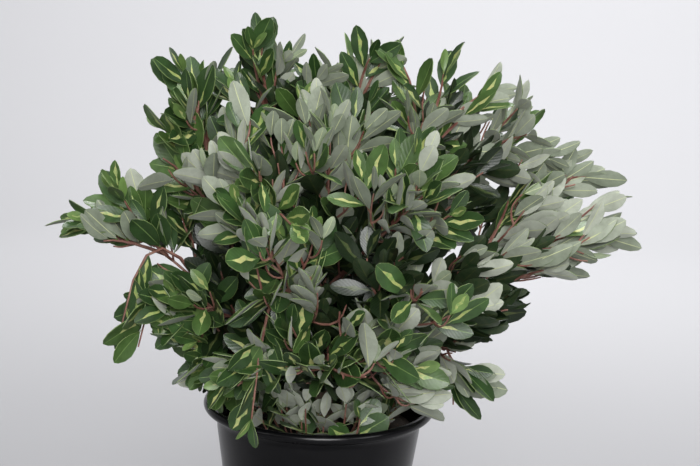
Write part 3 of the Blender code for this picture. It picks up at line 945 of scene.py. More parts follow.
# %% Bays
# Where the crown is open, as the camera sees it: each bay is a round window in the upright plane
# through the pot's axis, with its place to the right, its height and its radius
BAYS = (
    (-0.153, 0.653, 0.015), (-0.135, 0.652, 0.017), (-0.052, 0.673, 0.015), (-0.003, 0.659, 0.017),
    (0.104, 0.654, 0.013), (0.158, 0.648, 0.013), (0.215, 0.629, 0.010), (0.265, 0.580, 0.019),
    (0.308, 0.565, 0.018), (0.350, 0.536, 0.018), (0.377, 0.494, 0.016), (-0.208, 0.587, 0.016),
    (-0.248, 0.548, 0.031), (-0.283, 0.482, 0.015), (-0.215, 0.525, 0.012), (-0.292, 0.400, 0.017),
    (-0.242, 0.390, 0.015), (-0.213, 0.403, 0.015), (-0.170, 0.386, 0.010), (-0.277, 0.345, 0.024),
    (-0.277, 0.300, 0.024), (-0.204, 0.258, 0.024), (-0.165, 0.221, 0.016), (0.177, 0.291, 0.014),
    (0.223, 0.305, 0.019), (0.240, 0.335, 0.013), (0.270, 0.374, 0.020), (0.336, 0.397, 0.018),
    (0.337, 0.305, 0.096), (0.218, 0.224, 0.015), (0.364, 0.419, 0.015), (0.200, 0.300, 0.014),
    (0.238, 0.272, 0.014), (-0.190, 0.405, 0.013), (-0.228, 0.405, 0.012), (-0.183, 0.272, 0.016),
    (-0.116, 0.678, 0.010), (-0.118, 0.652, 0.008), (0.168, 0.620, 0.009), (-0.272, 0.392, 0.016),
    (-0.240, 0.372, 0.012), (0.201, 0.221, 0.013), (-0.147, 0.219, 0.010), (-0.238, 0.264, 0.013),
    (-0.241, 0.504, 0.008), (0.243, 0.387, 0.011), (-0.179, 0.649, 0.009), (0.176, 0.212, 0.010),
)
# Where it is open to the young leaves in the pot, low at the front
LOW_BAYS = ((-0.029, 0.218, 0.022), (0.005, 0.213, 0.022), (0.040, 0.214, 0.022), (0.075, 0.222, 0.022))


def in_bay(place, stem):
    """True where the camera would see this place through a bay."""
    ray = place - CAMERA_PLACE
    spot = CAMERA_PLACE - ray * (CAMERA_PLACE.y / ray.y)
    bays = BAYS if stem == "foot" else BAYS + LOW_BAYS
    return any(math.hypot(spot.x - aside, spot.z - height) < radius for aside, height, radius in bays)


print("bays:", len(BAYS) + len(LOW_BAYS))


# %% Leaves apart
LEAF_APART = 9.5 * MM
NEIGHBOURS = [(i, j, k) for i in (-1, 0, 1) for j in (-1, 0, 1) for k in (-1, 0, 1)]


class Grid:
    """Finds leaf middles near a place."""

    def __init__(self, cell):
        self.cell = cell
        self.boxes = {}

    def key(self, place):
        return tuple(int(math.floor(c / self.cell)) for c in place)

    def crowded(self, place):
        x, y, z = self.key(place)
        for i, j, k in NEIGHBOURS:
            others = self.boxes.get((x + i, y + j, z + k), ())
            if any((place - other).length < self.cell for other in others):
                return True
        return False

    def add(self, place):
        self.boxes.setdefault(self.key(place), []).append(place)


# %% [markdown]
# ## One leaf
#
# A leaf is elliptic and leathery, about 57 mm long and 27 mm wide, with a short stalk and a gently
# waved edge. Its upper side is glossy green with a jagged splash of yellow along the midrib, its
# edge is a fine pale line, and its underside is matt silver. A flat card with a picture on it
# would be the lightest leaf, but it has no thickness and no underside of its own. So each leaf
# is one blade made from a grid that is wrapped round: the first columns are the upper side, the
# later ones the underside, and the edge lies between them. At both ends the blade narrows to a
# slit without width, under a millimetre long, whose corners stay apart. The colours are material
# slots on its faces, and the splash is drawn by moving the corners next to the midrib in and out.

# %% Leaf outline
LEAF_LENGTH = 57 * MM
LEAF_WIDTH = 27.5 * MM
LEAF_THICKNESS = 0.9 * MM
STALK_SHARE = 0.09
STALK_WIDTH = 1.5 * MM
LEAF_ROWS = (0.0, STALK_SHARE, 0.18, 0.31, 0.46, 0.63, 0.81, 0.95, 1.0)
WIDEST_LATE = 1.25
ROUNDNESS = 0.62


def half_width(share):
    """Half the blade's width at this share of its length."""
    if share <= STALK_SHARE:
        return STALK_WIDTH / 2
    blade = (share - STALK_SHARE) / (1 - STALK_SHARE)
    return max(STALK_WIDTH / 2, LEAF_WIDTH / 2 * math.sin(math.pi * blade**WIDEST_LATE) ** ROUNDNESS)


print("leaf widths in mm:", [round(2 * half_width(share) / MM, 1) for share in LEAF_ROWS])


# %% Leaf columns
MIDRIB = 0.04
RIM = 0.965
# Each column of the blade: how far across it is, and 1 on the upper side or -1 on the underside.
# The upper side is a little narrower, so that the pale edge slopes and shows from above too. The
# columns next to the midrib are moved to draw the splash.
LEAF_RING = (
    (-RIM, 1), (-MIDRIB, 1), (MIDRIB, 1), (RIM, 1), (1, -1), (MIDRIB, -1), (-MIDRIB, -1), (-1, -1),
)
GREEN, SPLASH, SILVER, RIB, UNDER_RIB, EDGE = range(6)
CELL_SLOTS = (GREEN, RIB, GREEN, EDGE, SILVER, UNDER_RIB, SILVER, EDGE)
SPLASH_COLUMNS = (1, 2)
MIDDLE_CELL = 1
UNDER_ROWS = (2, 3)


class Look:
    """The seeded looks of one kind of leaf."""

    def __init__(self, dice, splash):
        self.fold = dice.uniform(0.06, 0.30)
        self.bend = dice.uniform(-0.14, 0.22)
        self.twist = dice.uniform(-0.30, 0.30)
        self.wave = dice.uniform(0.2, 0.8) * MM
        self.phase = dice.uniform(0, 2 * math.pi)
        self.width = dice.uniform(0.80, 1.10)
        self.splash = splash
        self.edges = {column: self.flames(dice) for column in SPLASH_COLUMNS}
        self.under = dice.choice((0, 0, 0.16, 0.26))

    def flames(self, dice):
        """How far the splash licks out from the midrib at each row, on one side of it."""
        high = dice.random() < 0.5
        reach = []
        for row in range(len(LEAF_ROWS)):
            high = not high
            lick = dice.uniform(0.20, 0.44) if high else dice.uniform(0.05, 0.12)
            reach.append(lick if self.splash[0] <= row <= self.splash[1] else MIDRIB)
        return reach

    def slot(self, column, row):
        """The colour of a cell of the blade."""
        if row == 0:
            return RIB
        if column == MIDDLE_CELL and self.splash[0] - 1 <= row <= self.splash[1]:
            return SPLASH
        return CELL_SLOTS[column]

    def across(self, column, row):
        """How far across the blade a column is at this row, from -1 to 1."""
        base, side = LEAF_RING[column]
        if column in self.edges:
            return math.copysign(self.edges[column][row], base)
        if side < 0 and abs(base) == MIDRIB and row in UNDER_ROWS:
            return math.copysign(max(MIDRIB, self.under * (1.4 - 0.35 * row)), base)
        return base

    def place(self, column, row):
        """Where a corner of the blade lies, in metres: across, towards the upper side, along."""
        share = LEAF_ROWS[row]
        across = self.across(column, row)
        ends = row in (0, len(LEAF_ROWS) - 1)
        half = 0.0 if ends else half_width(share) * self.width
        x = across * half
        y = 0 if ends else LEAF_RING[column][1] * LEAF_THICKNESS / 2
        y += self.fold * (abs(x) - 0.35 * half)
        y += self.wave * abs(across) * math.sin(9 * share + self.phase + math.copysign(0.9, across))
        y -= self.bend * LEAF_LENGTH * share**2
        turn = self.twist * share
        return Vector((
            x * math.cos(turn) - y * math.sin(turn),
            x * math.sin(turn) + y * math.cos(turn),
            LEAF_LENGTH * share,
        ))


# %% Leaf blades
# The first and last row of each kind's splash. One kind in four has none
NO_SPLASH = (9, 0)
SPLASHES = ((2, 5), (2, 4), NO_SPLASH, (2, 3), (3, 5), NO_SPLASH, (1, 4), (3, 6))
LOOKS = 24


def leaf_shape(look):
    """One blade from a grid that is wrapped round, with the seam along it merged."""
    columns, rows = len(LEAF_RING), len(LEAF_ROWS) - 1
    body = bmesh.new()
    across = body.verts.layers.float.new("across")
    bmesh.ops.create_grid(body, x_segments=columns, y_segments=rows, size=1)
    cell_of = {v: (round((v.co.x + 1) / 2 * columns), round((v.co.y + 1) / 2 * rows)) for v in body.verts}
    for face in body.faces:
        column = min(cell_of[v][0] for v in face.verts)
        row = min(cell_of[v][1] for v in face.verts)
        face.material_index = look.slot(column, row)
    for v, (column, row) in cell_of.items():
        v[across] = look.across(column % columns, row)
        v.co = look.place(column % columns, row)
    bmesh.ops.remove_doubles(body, verts=body.verts, dist=1e-6)
    bmesh.ops.recalc_face_normals(body, faces=body.faces)
    body.verts.index_update()
    uv = np.array([[0.5 + v[across] / 2, v.co.z / LEAF_LENGTH] for v in body.verts])
    shape = Shape(body, uv)
    body.free()
    return shape


leaf_dice = random.Random(7)
leaf_shapes = [leaf_shape(Look(leaf_dice, SPLASHES[k % len(SPLASHES)])) for k in range(LOOKS)]
print("leaf faces:", len(leaf_shapes[0].counts), "kinds of leaf:", len(leaf_shapes))

# %% [markdown]
# ## Leaf colours
#
# The upper side has a waxy gloss, and the underside a felt of tiny silver scales, which the
# shader's sheen gives. The side veins are a fine bump that follows the blade's UV map. No two
# sprays are quite the same colour. A random value in one finish could vary it, but only from
# object to object, and all the leaves of a stem are one object. So each kind of colour has a few
# tints, dealt out by spray.

# %% Leaf tints
GREENS = ((0.026, 0.060, 0.016), (0.038, 0.084, 0.022), (0.060, 0.118, 0.028))
SPLASH_TINTS = ((0.52, 0.52, 0.21), (0.38, 0.42, 0.14))
SILVERS = ((0.42, 0.45, 0.37), (0.33, 0.365, 0.285), (0.225, 0.26, 0.19))
# The foot's silver is painted light: paler than the rest, for undersides that the crown shades from above
PAINTED_LIGHT_FOOT_SILVER = (0.60, 0.64, 0.53)
YOUNG_GREEN = (0.130, 0.215, 0.060)
YOUNG_SILVER = (0.30, 0.36, 0.235)
# Painted shade: nearly black tints for the leaves deep inside the crown, where shade falls
PAINTED_SHADE_GREEN = (0.008, 0.018, 0.005)
PAINTED_SHADE_SILVER = (0.034, 0.052, 0.022)
PAINTED_SHADE_SPLASH = (0.07, 0.085, 0.028)
RIB_COLOUR = (0.15, 0.24, 0.07)
UNDER_RIB_COLOUR = (0.56, 0.60, 0.33)
EDGE_COLOUR = (0.16, 0.23, 0.075)

# %% Leaf materials
VEIN_LEAN = -0.5
VEIN_WAVE = 62.0
UPPER_VEINS = 0.035 * MM
UNDER_VEINS = 0.03 * MM


def maths(made, operation, *sources):
    return node(made, "ShaderNodeMath", enumerate(sources), operation=operation).outputs[0]


def veins(made, depth):
    """Side veins that run from the midrib forwards to the edge."""
    uv = node(made, "ShaderNodeUVMap", uv_map="blade").outputs["UV"]
    parts = node(made, "ShaderNodeSeparateXYZ", [("Vector", uv)])
    off = maths(made, "ABSOLUTE", maths(made, "SUBTRACT", parts.outputs["X"], 0.5))
    lean = maths(made, "MULTIPLY_ADD", off, VEIN_LEAN, parts.outputs["Y"])
    rough_surface(made, maths(made, "SINE", maths(made, "MULTIPLY", lean, VEIN_WAVE)), depth)


def clouds(made, colour, scale, detail, dark, pale):
    """Soft clouds of a darker and a paler tone of a colour."""
    darker, paler = (tuple(tone * c for c in colour) for tone in (dark, pale))
    cloud = grain(made, scale, detail=detail)
    feed(made, "Base Color", ramp(made, cloud, (0.35, darker), (0.65, paler)))


def make_leaf_green(kind, colour):
    made = new_material(f"leaf_green_{kind}", colour, 0.36, Coat_Weight=0.12, Coat_Roughness=0.25)
    clouds(made, colour, 55, 2, 0.78, 1.22)
    veins(made, UPPER_VEINS)
    return made


def make_leaf_splash(kind, colour):
    """The splash runs out into the green in fine grains."""
    made = new_material(f"leaf_splash_{kind}", colour, 0.40)
    greener = (0.55 * colour[0], 0.80 * colour[1], 0.7 * colour[2])
    feed(made, "Base Color", ramp(made, grain(made, 160, detail=3), (0.36, greener), (0.56, colour)))
    veins(made, UPPER_VEINS)
    return made


def make_leaf_silver(kind, colour):
    made = new_material(f"leaf_silver_{kind}", colour, 0.72, Sheen_Weight=0.15, Sheen_Roughness=0.5)
    clouds(made, colour, 70, 3, 0.86, 1.12)
    veins(made, UNDER_VEINS)
    return made


# %% List the leaf finishes
leaf_finishes = []


def listed(*finishes):
    """Adds finishes to the leaves' list and returns their places in it."""
    leaf_finishes.extend(finishes)
    return list(range(len(leaf_finishes) - len(finishes), len(leaf_finishes)))


green_tints = listed(*(make_leaf_green(f"tint_{k}", c) for k, c in enumerate(GREENS)))
splash_tints = listed(*(make_leaf_splash(f"tint_{k}", c) for k, c in enumerate(SPLASH_TINTS)))
silver_tints = listed(*(make_leaf_silver(f"tint_{k}", c) for k, c in enumerate(SILVERS)))
# Painted shade: the nearly black finishes of the leaves deep in the crown. Painted light: the foot's pale
# silver
young_green, painted_shade_green, young_silver, painted_shade_silver, painted_shade_splash, painted_light_foot_silver = listed(
    make_leaf_green("young", YOUNG_GREEN),
    make_leaf_green("painted_shade", PAINTED_SHADE_GREEN),
    make_leaf_silver("young", YOUNG_SILVER),
    make_leaf_splash("dull", PAINTED_SHADE_SILVER),
    make_leaf_splash("painted_shade", PAINTED_SHADE_SPLASH),
    make_leaf_silver("foot", PAINTED_LIGHT_FOOT_SILVER),
)
ribs = listed(
    new_material("leaf_rib", RIB_COLOUR, 0.5),
    new_material("leaf_under_rib", UNDER_RIB_COLOUR, 0.6),
    new_material("leaf_edge", EDGE_COLOUR, 0.5),
)
# The colours of a leaf deep in the crown in the order of GREEN to EDGE, all painted shade: its ribs and
# edge are as dark as its blade
painted_shade_tints = np.array([painted_shade_green, painted_shade_splash, painted_shade_silver, painted_shade_splash, painted_shade_splash, painted_shade_green])
print("leaf finishes:", len(leaf_finishes))


def dealt_tints(kind, dice):
    """The tint of each colour on one spray, for grown leaves and for young ones."""
    # Deep twigs get the tints with painted shade, and the foot gets the silver with painted light
    if kind == "inner":
        return painted_shade_tints, painted_shade_tints
    splash = dice.choice(splash_tints)
    silver = painted_light_foot_silver if kind == "foot" else dice.choice(silver_tints)
    green = dice.choice(green_tints)
    return np.array([green, splash, silver, *ribs]), np.array([young_green, splash, young_silver, *ribs])


# %% [markdown]
# ## Leaves along the twigs
#
# The leaves are alternate: each sits two fifths of a turn round from the one before it. They
# spread wide at a twig's foot and close up at its tip, where they are still small. A spray is
# nearly flat, and many have swung over and show their silver undersides outwards, most of all on
# the right. Leaves strewn at random over the twigs would miss this order, and look like litter.
# So they are placed one by one, and a leaf that finds no room is turned further round its twig.

# %% Habits of the sprays
# How many sprays are turned, which way their upper sides then look, how wide the leaves spread,
# how long and how broad they are, which way they lean, and which way the fine twigs bend
Habit = namedtuple("Habit", "turned away spread size breadth lean pull")
AWAY = Vector((0, 1, -0.2))
HABITS = {
    "top": Habit(0.30, AWAY, 0.86, 0.92, 0.86, Vector((0.08, 0, 0)), Vector((0.05, 0, 0.3))),
    "right": Habit(0.76, AWAY, 0.68, 1.0, 0.90, Vector((0.75, 0, 0.02)), Vector((0.60, 0, 0.1))),
    "front": Habit(0.62, AWAY, 1.0, 0.96, 1.0, Vector((0, 0, 0.05)), Vector((0, 0, 1.0))),
    "front_top": Habit(0.54, AWAY, 0.92, 0.96, 0.95, Vector((0.08, 0, 0.05)), Vector((0, 0, 0.8))),
    "left": Habit(0.10, AWAY, 1.0, 1.0, 1.0, Vector((-0.10, 0, 0)), Vector((0, 0, 0.3))),
    "back": Habit(0.35, Vector((0, -1, 0)), 1.0, 1.0, 1.0, Vector((0, 0, 0)), Vector((0, 0, 0.4))),
    "foot": Habit(0.0, AWAY, 1.2, 0.82, 1.3, Vector((0, 0, 0.1)), Vector((0, 0, 0))),
}
FACING_STRAY = 0.38
# The crown is broader than it is deep, so the other sprays look mostly to its front or its back
FACE_CENTRE = Vector((0, 0.06, 0.30))
FACE_STRETCH = 3.0
FACE_LIFT = 0.2


def stray(dice, amount):
    """A small step to any side."""
    return Vector(tuple(dice.gauss(0, amount) for _ in range(3)))


def spray_face(twig, stem, dice):
    """Which way the upper sides of a spray look: up and outwards, or turned away."""
    if twig.face:
        return twig.face
    habit = HABITS[stem]
    if dice.random() < habit.turned:
        return habit.away + stray(dice, FACING_STRAY)
    out = twig.line[-1] - FACE_CENTRE
    outwards = Vector((out.x, FACE_STRETCH * out.y, out.z)).normalized()
    return outwards + FACE_LIFT * UP + stray(dice, FACING_STRAY)


# %% Places and ways of the leaves
LEAF_SPACING = 13.0 * MM
LEAF_TURN = math.radians(144)
TIP_LEAVES = 3
FIRST_SPREAD = math.radians(52)
LAST_SPREAD = math.radians(24)
END_SIZE = 0.84
TIP_SIZES = (0.78, 0.45)
FLATNESS = 0.75
FACE_PULL = 1.3


def leaf_places(twig, habit, dice):
    """Each leaf's root, the twig's direction, turn round it, spread, size, and if it is young."""
    count = max(2, round((twig.length - twig.bare) / LEAF_SPACING))
    phase = dice.uniform(0, 2 * math.pi)
    for k in range(count + TIP_LEAVES):
        grown = min(k / count, 1)
        share = mix(twig.bare / twig.length, 1, grown)
        root, forward = along(twig.line, 0.999 * share)
        spread = habit.spread * mix(FIRST_SPREAD, LAST_SPREAD, grown) * varied(dice)
        size = habit.size * mix(END_SIZE, 1.00, math.sin(math.pi * grown)) * varied(dice)
        if k >= count:
            spread *= dice.uniform(0.35, 1.0)
            size *= mix(*TIP_SIZES, (k - count) / TIP_LEAVES)
        yield root, forward, phase + k * LEAF_TURN, spread, size, k > count


def leaf_ways(forward, turn, spread, lean, face):
    """Which way a blade points, and which way its upper side looks."""
    aside, across = square_to(forward)
    outward = math.cos(turn) * aside + math.sin(turn) * across
    face = (face - face.dot(forward) * forward).normalized()
    outward = (outward - FLATNESS * outward.dot(face) * face).normalized()
    way = (math.cos(spread) * forward + math.sin(spread) * outward + lean).normalized()
    upper = math.sin(spread) * forward - math.cos(spread) * outward + FACE_PULL * face
    return way, (upper - upper.dot(way) * way).normalized()


def blade_frame(way, upper, size, breadth):
    """The matrix that puts a leaf shape in its place."""
    across = upper.cross(way) * breadth
    return np.array([[*across], [*upper], [*way]]) * size


# %% Room for one leaf
HOLLOW_SCALE = 20
HOLLOW_LEVEL = -0.07
LEAF_MIDDLE = 0.55
TESTED_SHARES = (0.3, 0.5, 0.75, 1.0)
grid = Grid(LEAF_APART)


def hollow(place):
    """True in one of the dark gaps between the outer sprays."""
    return noise.noise(place * HOLLOW_SCALE) < HOLLOW_LEVEL


def fits(root, way, upper, size, twig, stem):
    """True where a leaf is clear of its neighbours, the hollows, the pot, the bays and the box."""
    middle = root + way * LEAF_MIDDLE * LEAF_LENGTH * size
    if grid.crowded(middle) or (twig.kind == "side" and hollow(middle)):
        return False
    half = upper.cross(way) * LEAF_WIDTH / 2 * size
    spots = [root + way * LEAF_LENGTH * size * share for share in TESTED_SHARES]
    if outside(spots[-1]):
        return False
    spots += [middle + half, middle - half]
    return not any(in_pot(spot) or in_bay(spot, stem) for spot in spots)


# %% Dress a twig
LEAF_STRAY = 0.22
LEAF_TRIES = 6
NEXT_TRY = math.radians(62)


def dress(twig, stem, dice):
    """The placed leaves of one twig."""
    made = []
    face = spray_face(twig, stem, dice)
    habit = HABITS[stem]
    grown_tints, young_tints = dealt_tints(twig.kind, dice)
    for root, forward, turn, spread, size, is_young in leaf_places(twig, habit, dice):
        for attempt in range(LEAF_TRIES):
            leaf_face = face + stray(dice, LEAF_STRAY)
            way, upper = leaf_ways(forward, turn + attempt * NEXT_TRY, spread, habit.lean, leaf_face)
            if fits(root, way, upper, size, twig, stem):
                grid.add(root + way * LEAF_MIDDLE * LEAF_LENGTH * size)
                shape = dice.choice(leaf_shapes)
                places = shape.places @ blade_frame(way, upper, size, habit.breadth) + np.array(root)
                tints = young_tints if is_young else grown_tints
                made.append(shape.moved(places, tints[shape.slots]))
                break
    return made


# %% [markdown]
# ## Growing the crown
#
# First all the twigs are laid out: the sprigs, the twigs of each mass, short leafy spurs on the
# older wood that fill the heart of the crown, and the shoots from the foot. Then the twigs deep
# inside are marked, and their leaves are painted nearly black, as painted shade inside the crown.
# Shadow alone could darken them, but with a few thousand leaves too much light gets in. The dark
# leaves give the crown its depth: bright young sprays stand before a nearly black inside.

# %% Lay out all the twigs
SHOOT_BARE = 12 * MM
SHOOT_POINTS = 12
FINE_TWIGS_PER_TWIG = 2
FINE_TWIG_SHARE = 0.60
EXTRA_TWIGS, EXTRA_TWIG_SHARE = 4, 0.30
BOUGH_SPURS, BOUGH_SPUR_LENGTH = 5, 62 * MM
STEM_SPURS, STEM_SPUR_LENGTH = 9, 85 * MM


def mass_twigs(mass):
    """The twigs of one mass: the CAD model's own, finer ones on them, and spurs on the bough."""
    dice = random.Random(mass.number)
    pull = HABITS[mass.stem].pull
    twigs = side_twigs(mass, dice)
    steps = SHOOT_POINTS - 1
    shoot = [mass.at(mix(mass.fork, SHOOT_EXTENSION, k / steps)) for k in range(SHOOT_POINTS)]
    finer = fine_twigs(shoot, EXTRA_TWIGS, EXTRA_TWIG_SHARE * mass.leafy * mass.length, pull, dice)
    for twig in twigs:
        finer += fine_twigs(twig.line, FINE_TWIGS_PER_TWIG, FINE_TWIG_SHARE * twig.length, pull, dice)
    bare_wood = [mass.at(mass.fork * k / 5) for k in range(6)]
    finer += fine_twigs(bare_wood, BOUGH_SPURS, BOUGH_SPUR_LENGTH, pull, dice, 0.35, 1.0, "inner")
    return [Twig(shoot, SHOOT_RADIUS, SHOOT_BARE)] + twigs + finer


def stem_twigs(number, ends):
    """The leafy spurs on one stem."""
    dice = random.Random(100 + number)
    line = stem_line(*ends, 12)
    return fine_twigs(line, STEM_SPURS, STEM_SPUR_LENGTH, TWIG_LIFT * UP, dice, 0.15, 1.0, "inner")


all_twigs = [
    (mass.stem, sprig(mass, *row))
    for mass in masses for name, *row in SPRIGS if name == mass.name
]
sprigs = len(all_twigs)
all_twigs += [(mass.stem, twig) for mass in masses for twig in mass_twigs(mass)]
for number, (stem, ends) in enumerate(stems.items()):
    all_twigs += [(stem, twig) for twig in stem_twigs(number, ends)]
foot_dice = random.Random(200)
all_twigs += [("foot", foot_shoot(k, foot_dice)) for k in range(FOOT_SHOOTS)]
print("twigs:", len(all_twigs), "of them sprigs:", sprigs)

# %% Painted shade for the leaves deep in the crown
# A twig is deep when a place well along it is nearer to the heart than its stem's share of the
# outermost tip's distance in the same direction. The left and the foot have no such share
DEEP_SHARES = {"top": 0.78, "right": 0.74, "front": 0.70, "front_top": 0.74, "back": 0.74}
DIRECTION_STEPS = 3
WELL_ALONG = 0.7
outermost = {}


def direction_box(place):
    """One of a few dozen coarse directions from the heart."""
    way = (place - HEART).normalized()
    return tuple(round(DIRECTION_STEPS * c) for c in way)


for stem, twig in all_twigs:
    box = direction_box(twig.line[-1])
    outermost[box] = max(outermost.get(box, 0), (twig.line[-1] - HEART).length)

for stem, twig in all_twigs[sprigs:]:
    place = mix(twig.line[0], twig.line[-1], WELL_ALONG)
    reach = DEEP_SHARES.get(stem, 0) * outermost.get(direction_box(place), 0)
    if (place - HEART).length < reach:
        twig.kind = "inner"
print("twigs with old leaves:", sum(twig.kind == "inner" for stem, twig in all_twigs))

# %% Grow the leaves
TWIG_TIP_RADIUS = 0.9 * MM
twig_tube = tube_shape(5, 5)
twig_shapes = []
leaf_piles = {stem: [] for stem in (*CROWN, "foot")}


def twig_shape(twig):
    """A twig's tube, which thins to its tip."""
    def radius(share):
        return mix(twig.radius, TWIG_TIP_RADIUS, share)

    return bent(twig_tube, twig.line, radius)


growth_dice = random.Random(5)
for stem, twig in all_twigs:
    if any(in_pot(spot) for spot in twig.line[2:]) or in_bay(twig.line[-1], stem):
        continue
    twig_shapes.append(twig_shape(twig))
    leaf_piles[stem] += dress(twig, stem, growth_dice)
print("leaves:", sum(len(pile) for pile in leaf_piles.values()))

# %% Pour twigs and leaves
LEAF_SHARP = 28
pour("twig_bark", twig_shapes, [young_bark], [])
for stem, pile in leaf_piles.items():
    nodes = [f"foliage_{name}" for name in CROWN.get(stem, ())]
    pour(f"leaves_{stem}", pile, leaf_finishes, nodes, LEAF_SHARP)

# %% [markdown]
# ## The pot
#
# A grower's pot is moulded in one thin wall, with a rolled rim that stiffens it. It could be a
# cone with a ring laid on it, but the rim's underside flows into the wall. A profile spun round
# the axis has wall, rim and foot in one, with the rim's roll drawn as a short run of points. The
# plastic is nearly black with a soft gloss, a little uneven where it has been handled and where
# dust has settled.

# %% Turned pieces
TURNED_SHARP = 50


def turned_piece(name, profile, steps, finish, node_name, shape=None):
    """Spins a closed (radius, height) profile round Z; shape may then move the body's corners."""
    body = spun(profile, steps, 1e-6)
    bmesh.ops.recalc_face_normals(body, faces=body.faces)
    if shape:
        shape(body)
    mesh = bpy.data.meshes.new(name)
    body.to_mesh(mesh)
    body.free()
    mesh.shade_smooth()
    mesh.set_sharp_from_angle(angle=math.radians(TURNED_SHARP))
    mesh.materials.append(finish)
    return finished(name, mesh, [node_name])


# %% Pot
POT_STEPS = 160
ROLL_RADIUS = 5.5 * MM
ROLL_STEPS = 14
ROLL_START, ROLL_SWEEP = 165, 220
FLARE_FOOT = POT_HEIGHT - 24 * MM
FLARE_STEPS = 8


def wall_radius(height):
    """The outside of the tapering wall at this height."""
    return POT_BASE_RADIUS + LEAN * height


def pot_profile():
    """Up the inside, over the rounded rim, down its flare and the outside, and in under the foot."""
    shoulder = wall_radius(FLARE_FOOT)
    rim_middle = POT_HEIGHT - ROLL_RADIUS
    ring = RIM_RADIUS - ROLL_RADIUS
    inside = [(0, POT_WALL), (POT_BASE_RADIUS - 2 * POT_WALL, POT_WALL)]
    inside += [(POT_BASE_RADIUS - POT_WALL, 2.2 * POT_WALL), (shoulder - POT_WALL, FLARE_FOOT)]
    inside += [(ring - ROLL_RADIUS, rim_middle - 3 * MM)]
    turns = [math.radians(ROLL_START - ROLL_SWEEP * k / ROLL_STEPS) for k in range(ROLL_STEPS + 1)]
    rolled = [(ring + ROLL_RADIUS * math.cos(t), rim_middle + ROLL_RADIUS * math.sin(t)) for t in turns]
    start, width, height = rolled[-1], rolled[-1][0] - shoulder, rolled[-1][1] - FLARE_FOOT
    bends = [math.radians(90 * k / FLARE_STEPS) for k in range(1, FLARE_STEPS + 1)]
    flare = [(start[0] - width * math.sin(b), start[1] - height * (1 - math.cos(b))) for b in bends]
    outer = [(shoulder - 0.6 * MM, FLARE_FOOT - 10 * MM), (wall_radius(12 * MM), 12 * MM)]
    foot = [(POT_BASE_RADIUS + 0.3 * MM, 2 * MM), (POT_BASE_RADIUS - 0.6 * MM, 0), (0, 0)]
    return inside + rolled + flare + outer + foot


# %% Black plastic
PLASTIC = (0.003, 0.003, 0.0037)
PLASTIC_CLEAN = (0.0022, 0.0022, 0.0028)
PLASTIC_DUSTY = (0.008, 0.008, 0.009)


def make_black_plastic():
    made = new_material("black_plastic", PLASTIC, 0.28, Specular_IOR_Level=0.30)
    smears = grain(made, 9, detail=5, roughness=0.65)
    feed(made, "Roughness", span(made, smears, 0.16, 0.32))
    dust = grain(made, 38, detail=6, roughness=0.7)
    feed(made, "Base Color", ramp(made, dust, (0.55, PLASTIC_CLEAN), (0.80, PLASTIC_DUSTY)))
    rough_surface(made, grain(made, 620, detail=2), 0.05 * MM)
    return made


turned_piece("grower_pot", pot_profile(), POT_STEPS, make_black_plastic(), "pot")

# %% [markdown]
# ## The potting mix
#
# The mix is dark composted bark, and shows only where the leaves part. A flat disc with a bump
# would look printed there. So it is a turned body that fills the pot, with rings of points on
# its top that noise heaves up and down.

# %% Potting mix
MIX_STEPS = 96
MIX_RINGS = 26
MIX_DARK, MIX_PALE = (0.012, 0.009, 0.007), (0.042, 0.029, 0.020)
HEAVE = 1.6 * MM


def make_mix_finish(name, dark, pale):
    made = new_material(name, dark, 0.95)
    crumbs = grain(made, 190, detail=6, roughness=0.75)
    feed(made, "Base Color", ramp(made, crumbs, (0.35, dark), (0.72, pale)))
    rough_surface(made, grain(made, 330, detail=6, roughness=0.7), 1.2 * MM)
    return made


def mix_level(out):
    """The height of the mix's surface at this distance from the middle."""
    return MIX_TOP - 1.5 * MM - MIX_FALL * (out / 0.12) ** 2


def roughen_top(body):
    """Heaves the surface with noise, clear of the pot's wall."""
    for v in body.verts:
        out = math.hypot(v.co.x, v.co.y)
        if v.co.z > MIX_TOP - 2 * MIX_FALL:
            v.co.z = mix_level(out) + noise.fractal(v.co * 70, 0.8, 2.0, 4) * HEAVE


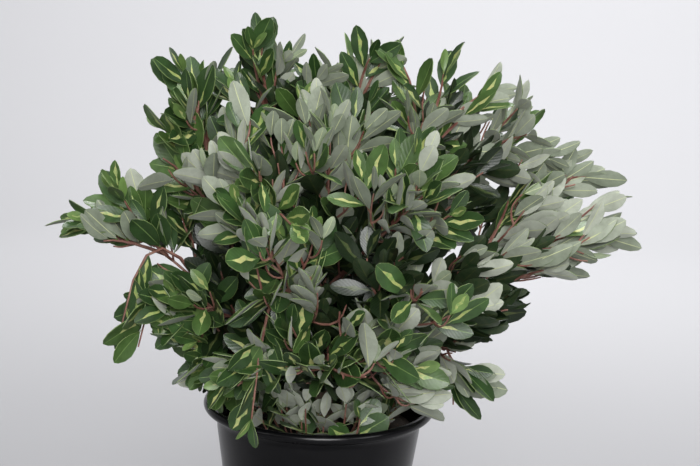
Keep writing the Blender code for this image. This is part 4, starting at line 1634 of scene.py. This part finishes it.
def mix_profile():
    inner = POT_BASE_RADIUS - POT_WALL - 2 * GAP
    edge = inner + LEAN * (MIX_TOP - MIX_FALL)
    top = [(edge * k / MIX_RINGS, MIX_TOP) for k in range(MIX_RINGS + 1)]
    return top + [(inner, POT_WALL + GAP), (0, POT_WALL + GAP)]


mix_finish = make_mix_finish("potting_mix", MIX_DARK, MIX_PALE)
turned_piece(
    "potting_mix_surface", mix_profile(), MIX_STEPS, mix_finish, "potting_mix",
    shape=roughen_top,
)

# %% [markdown]
# ## Bark chips
#
# Coarse flakes of bark lie on the mix and catch the light one by one. A finer mesh of the mix
# could be heaved into flakes, but they would all be joined. Each chip is a small ball instead,
# flattened and knocked about. A few kinds are enough, since each chip is turned and sized anew.

# %% Bark chips
CHIPS = 520
CHIP_KINDS = 6
CHIP_SIZE = 5.5 * MM
CHIP_DARK, CHIP_PALE = (0.018, 0.012, 0.009), (0.070, 0.045, 0.029)


def chip_shape(dice):
    """A rough flake: a small ball, flattened and knocked about."""
    body = bmesh.new()
    bmesh.ops.create_icosphere(body, subdivisions=1, radius=0.5)
    for v in body.verts:
        v.co *= dice.uniform(0.7, 1.2)
        v.co.z *= 0.42
        v.co.x *= 1.5
    shape = Shape(body)
    body.free()
    return shape


def strewn_chips():
    """Chips lying about on the mix, clear of the trunk and the pot."""
    dice = random.Random(11)
    kinds = [chip_shape(dice) for _ in range(CHIP_KINDS)]
    edge = POT_BASE_RADIUS + LEAN * MIX_TOP - POT_WALL - 5 * MM
    made = []
    for _ in range(CHIPS):
        out = mix(FLARE_RADIUS + 3 * MM, edge, math.sqrt(dice.random()))
        turn = dice.uniform(0, 2 * math.pi)
        place = Vector((out * math.cos(turn), out * math.sin(turn), mix_level(out) + 0.6 * MM))
        tilt = Matrix.Rotation(dice.uniform(-0.5, 0.5), 3, "X")
        tilt = tilt @ Matrix.Rotation(dice.uniform(0, 6.28), 3, "Z")
        size = CHIP_SIZE * dice.uniform(0.5, 1.3)
        kind = dice.choice(kinds)
        made.append(kind.moved(kind.places @ (np.array(tilt) * size) + np.array(place)))
    return made


chip_finish = make_mix_finish("bark_chips", CHIP_DARK, CHIP_PALE)
pour("potting_mix_chips", strewn_chips(), [chip_finish], [])
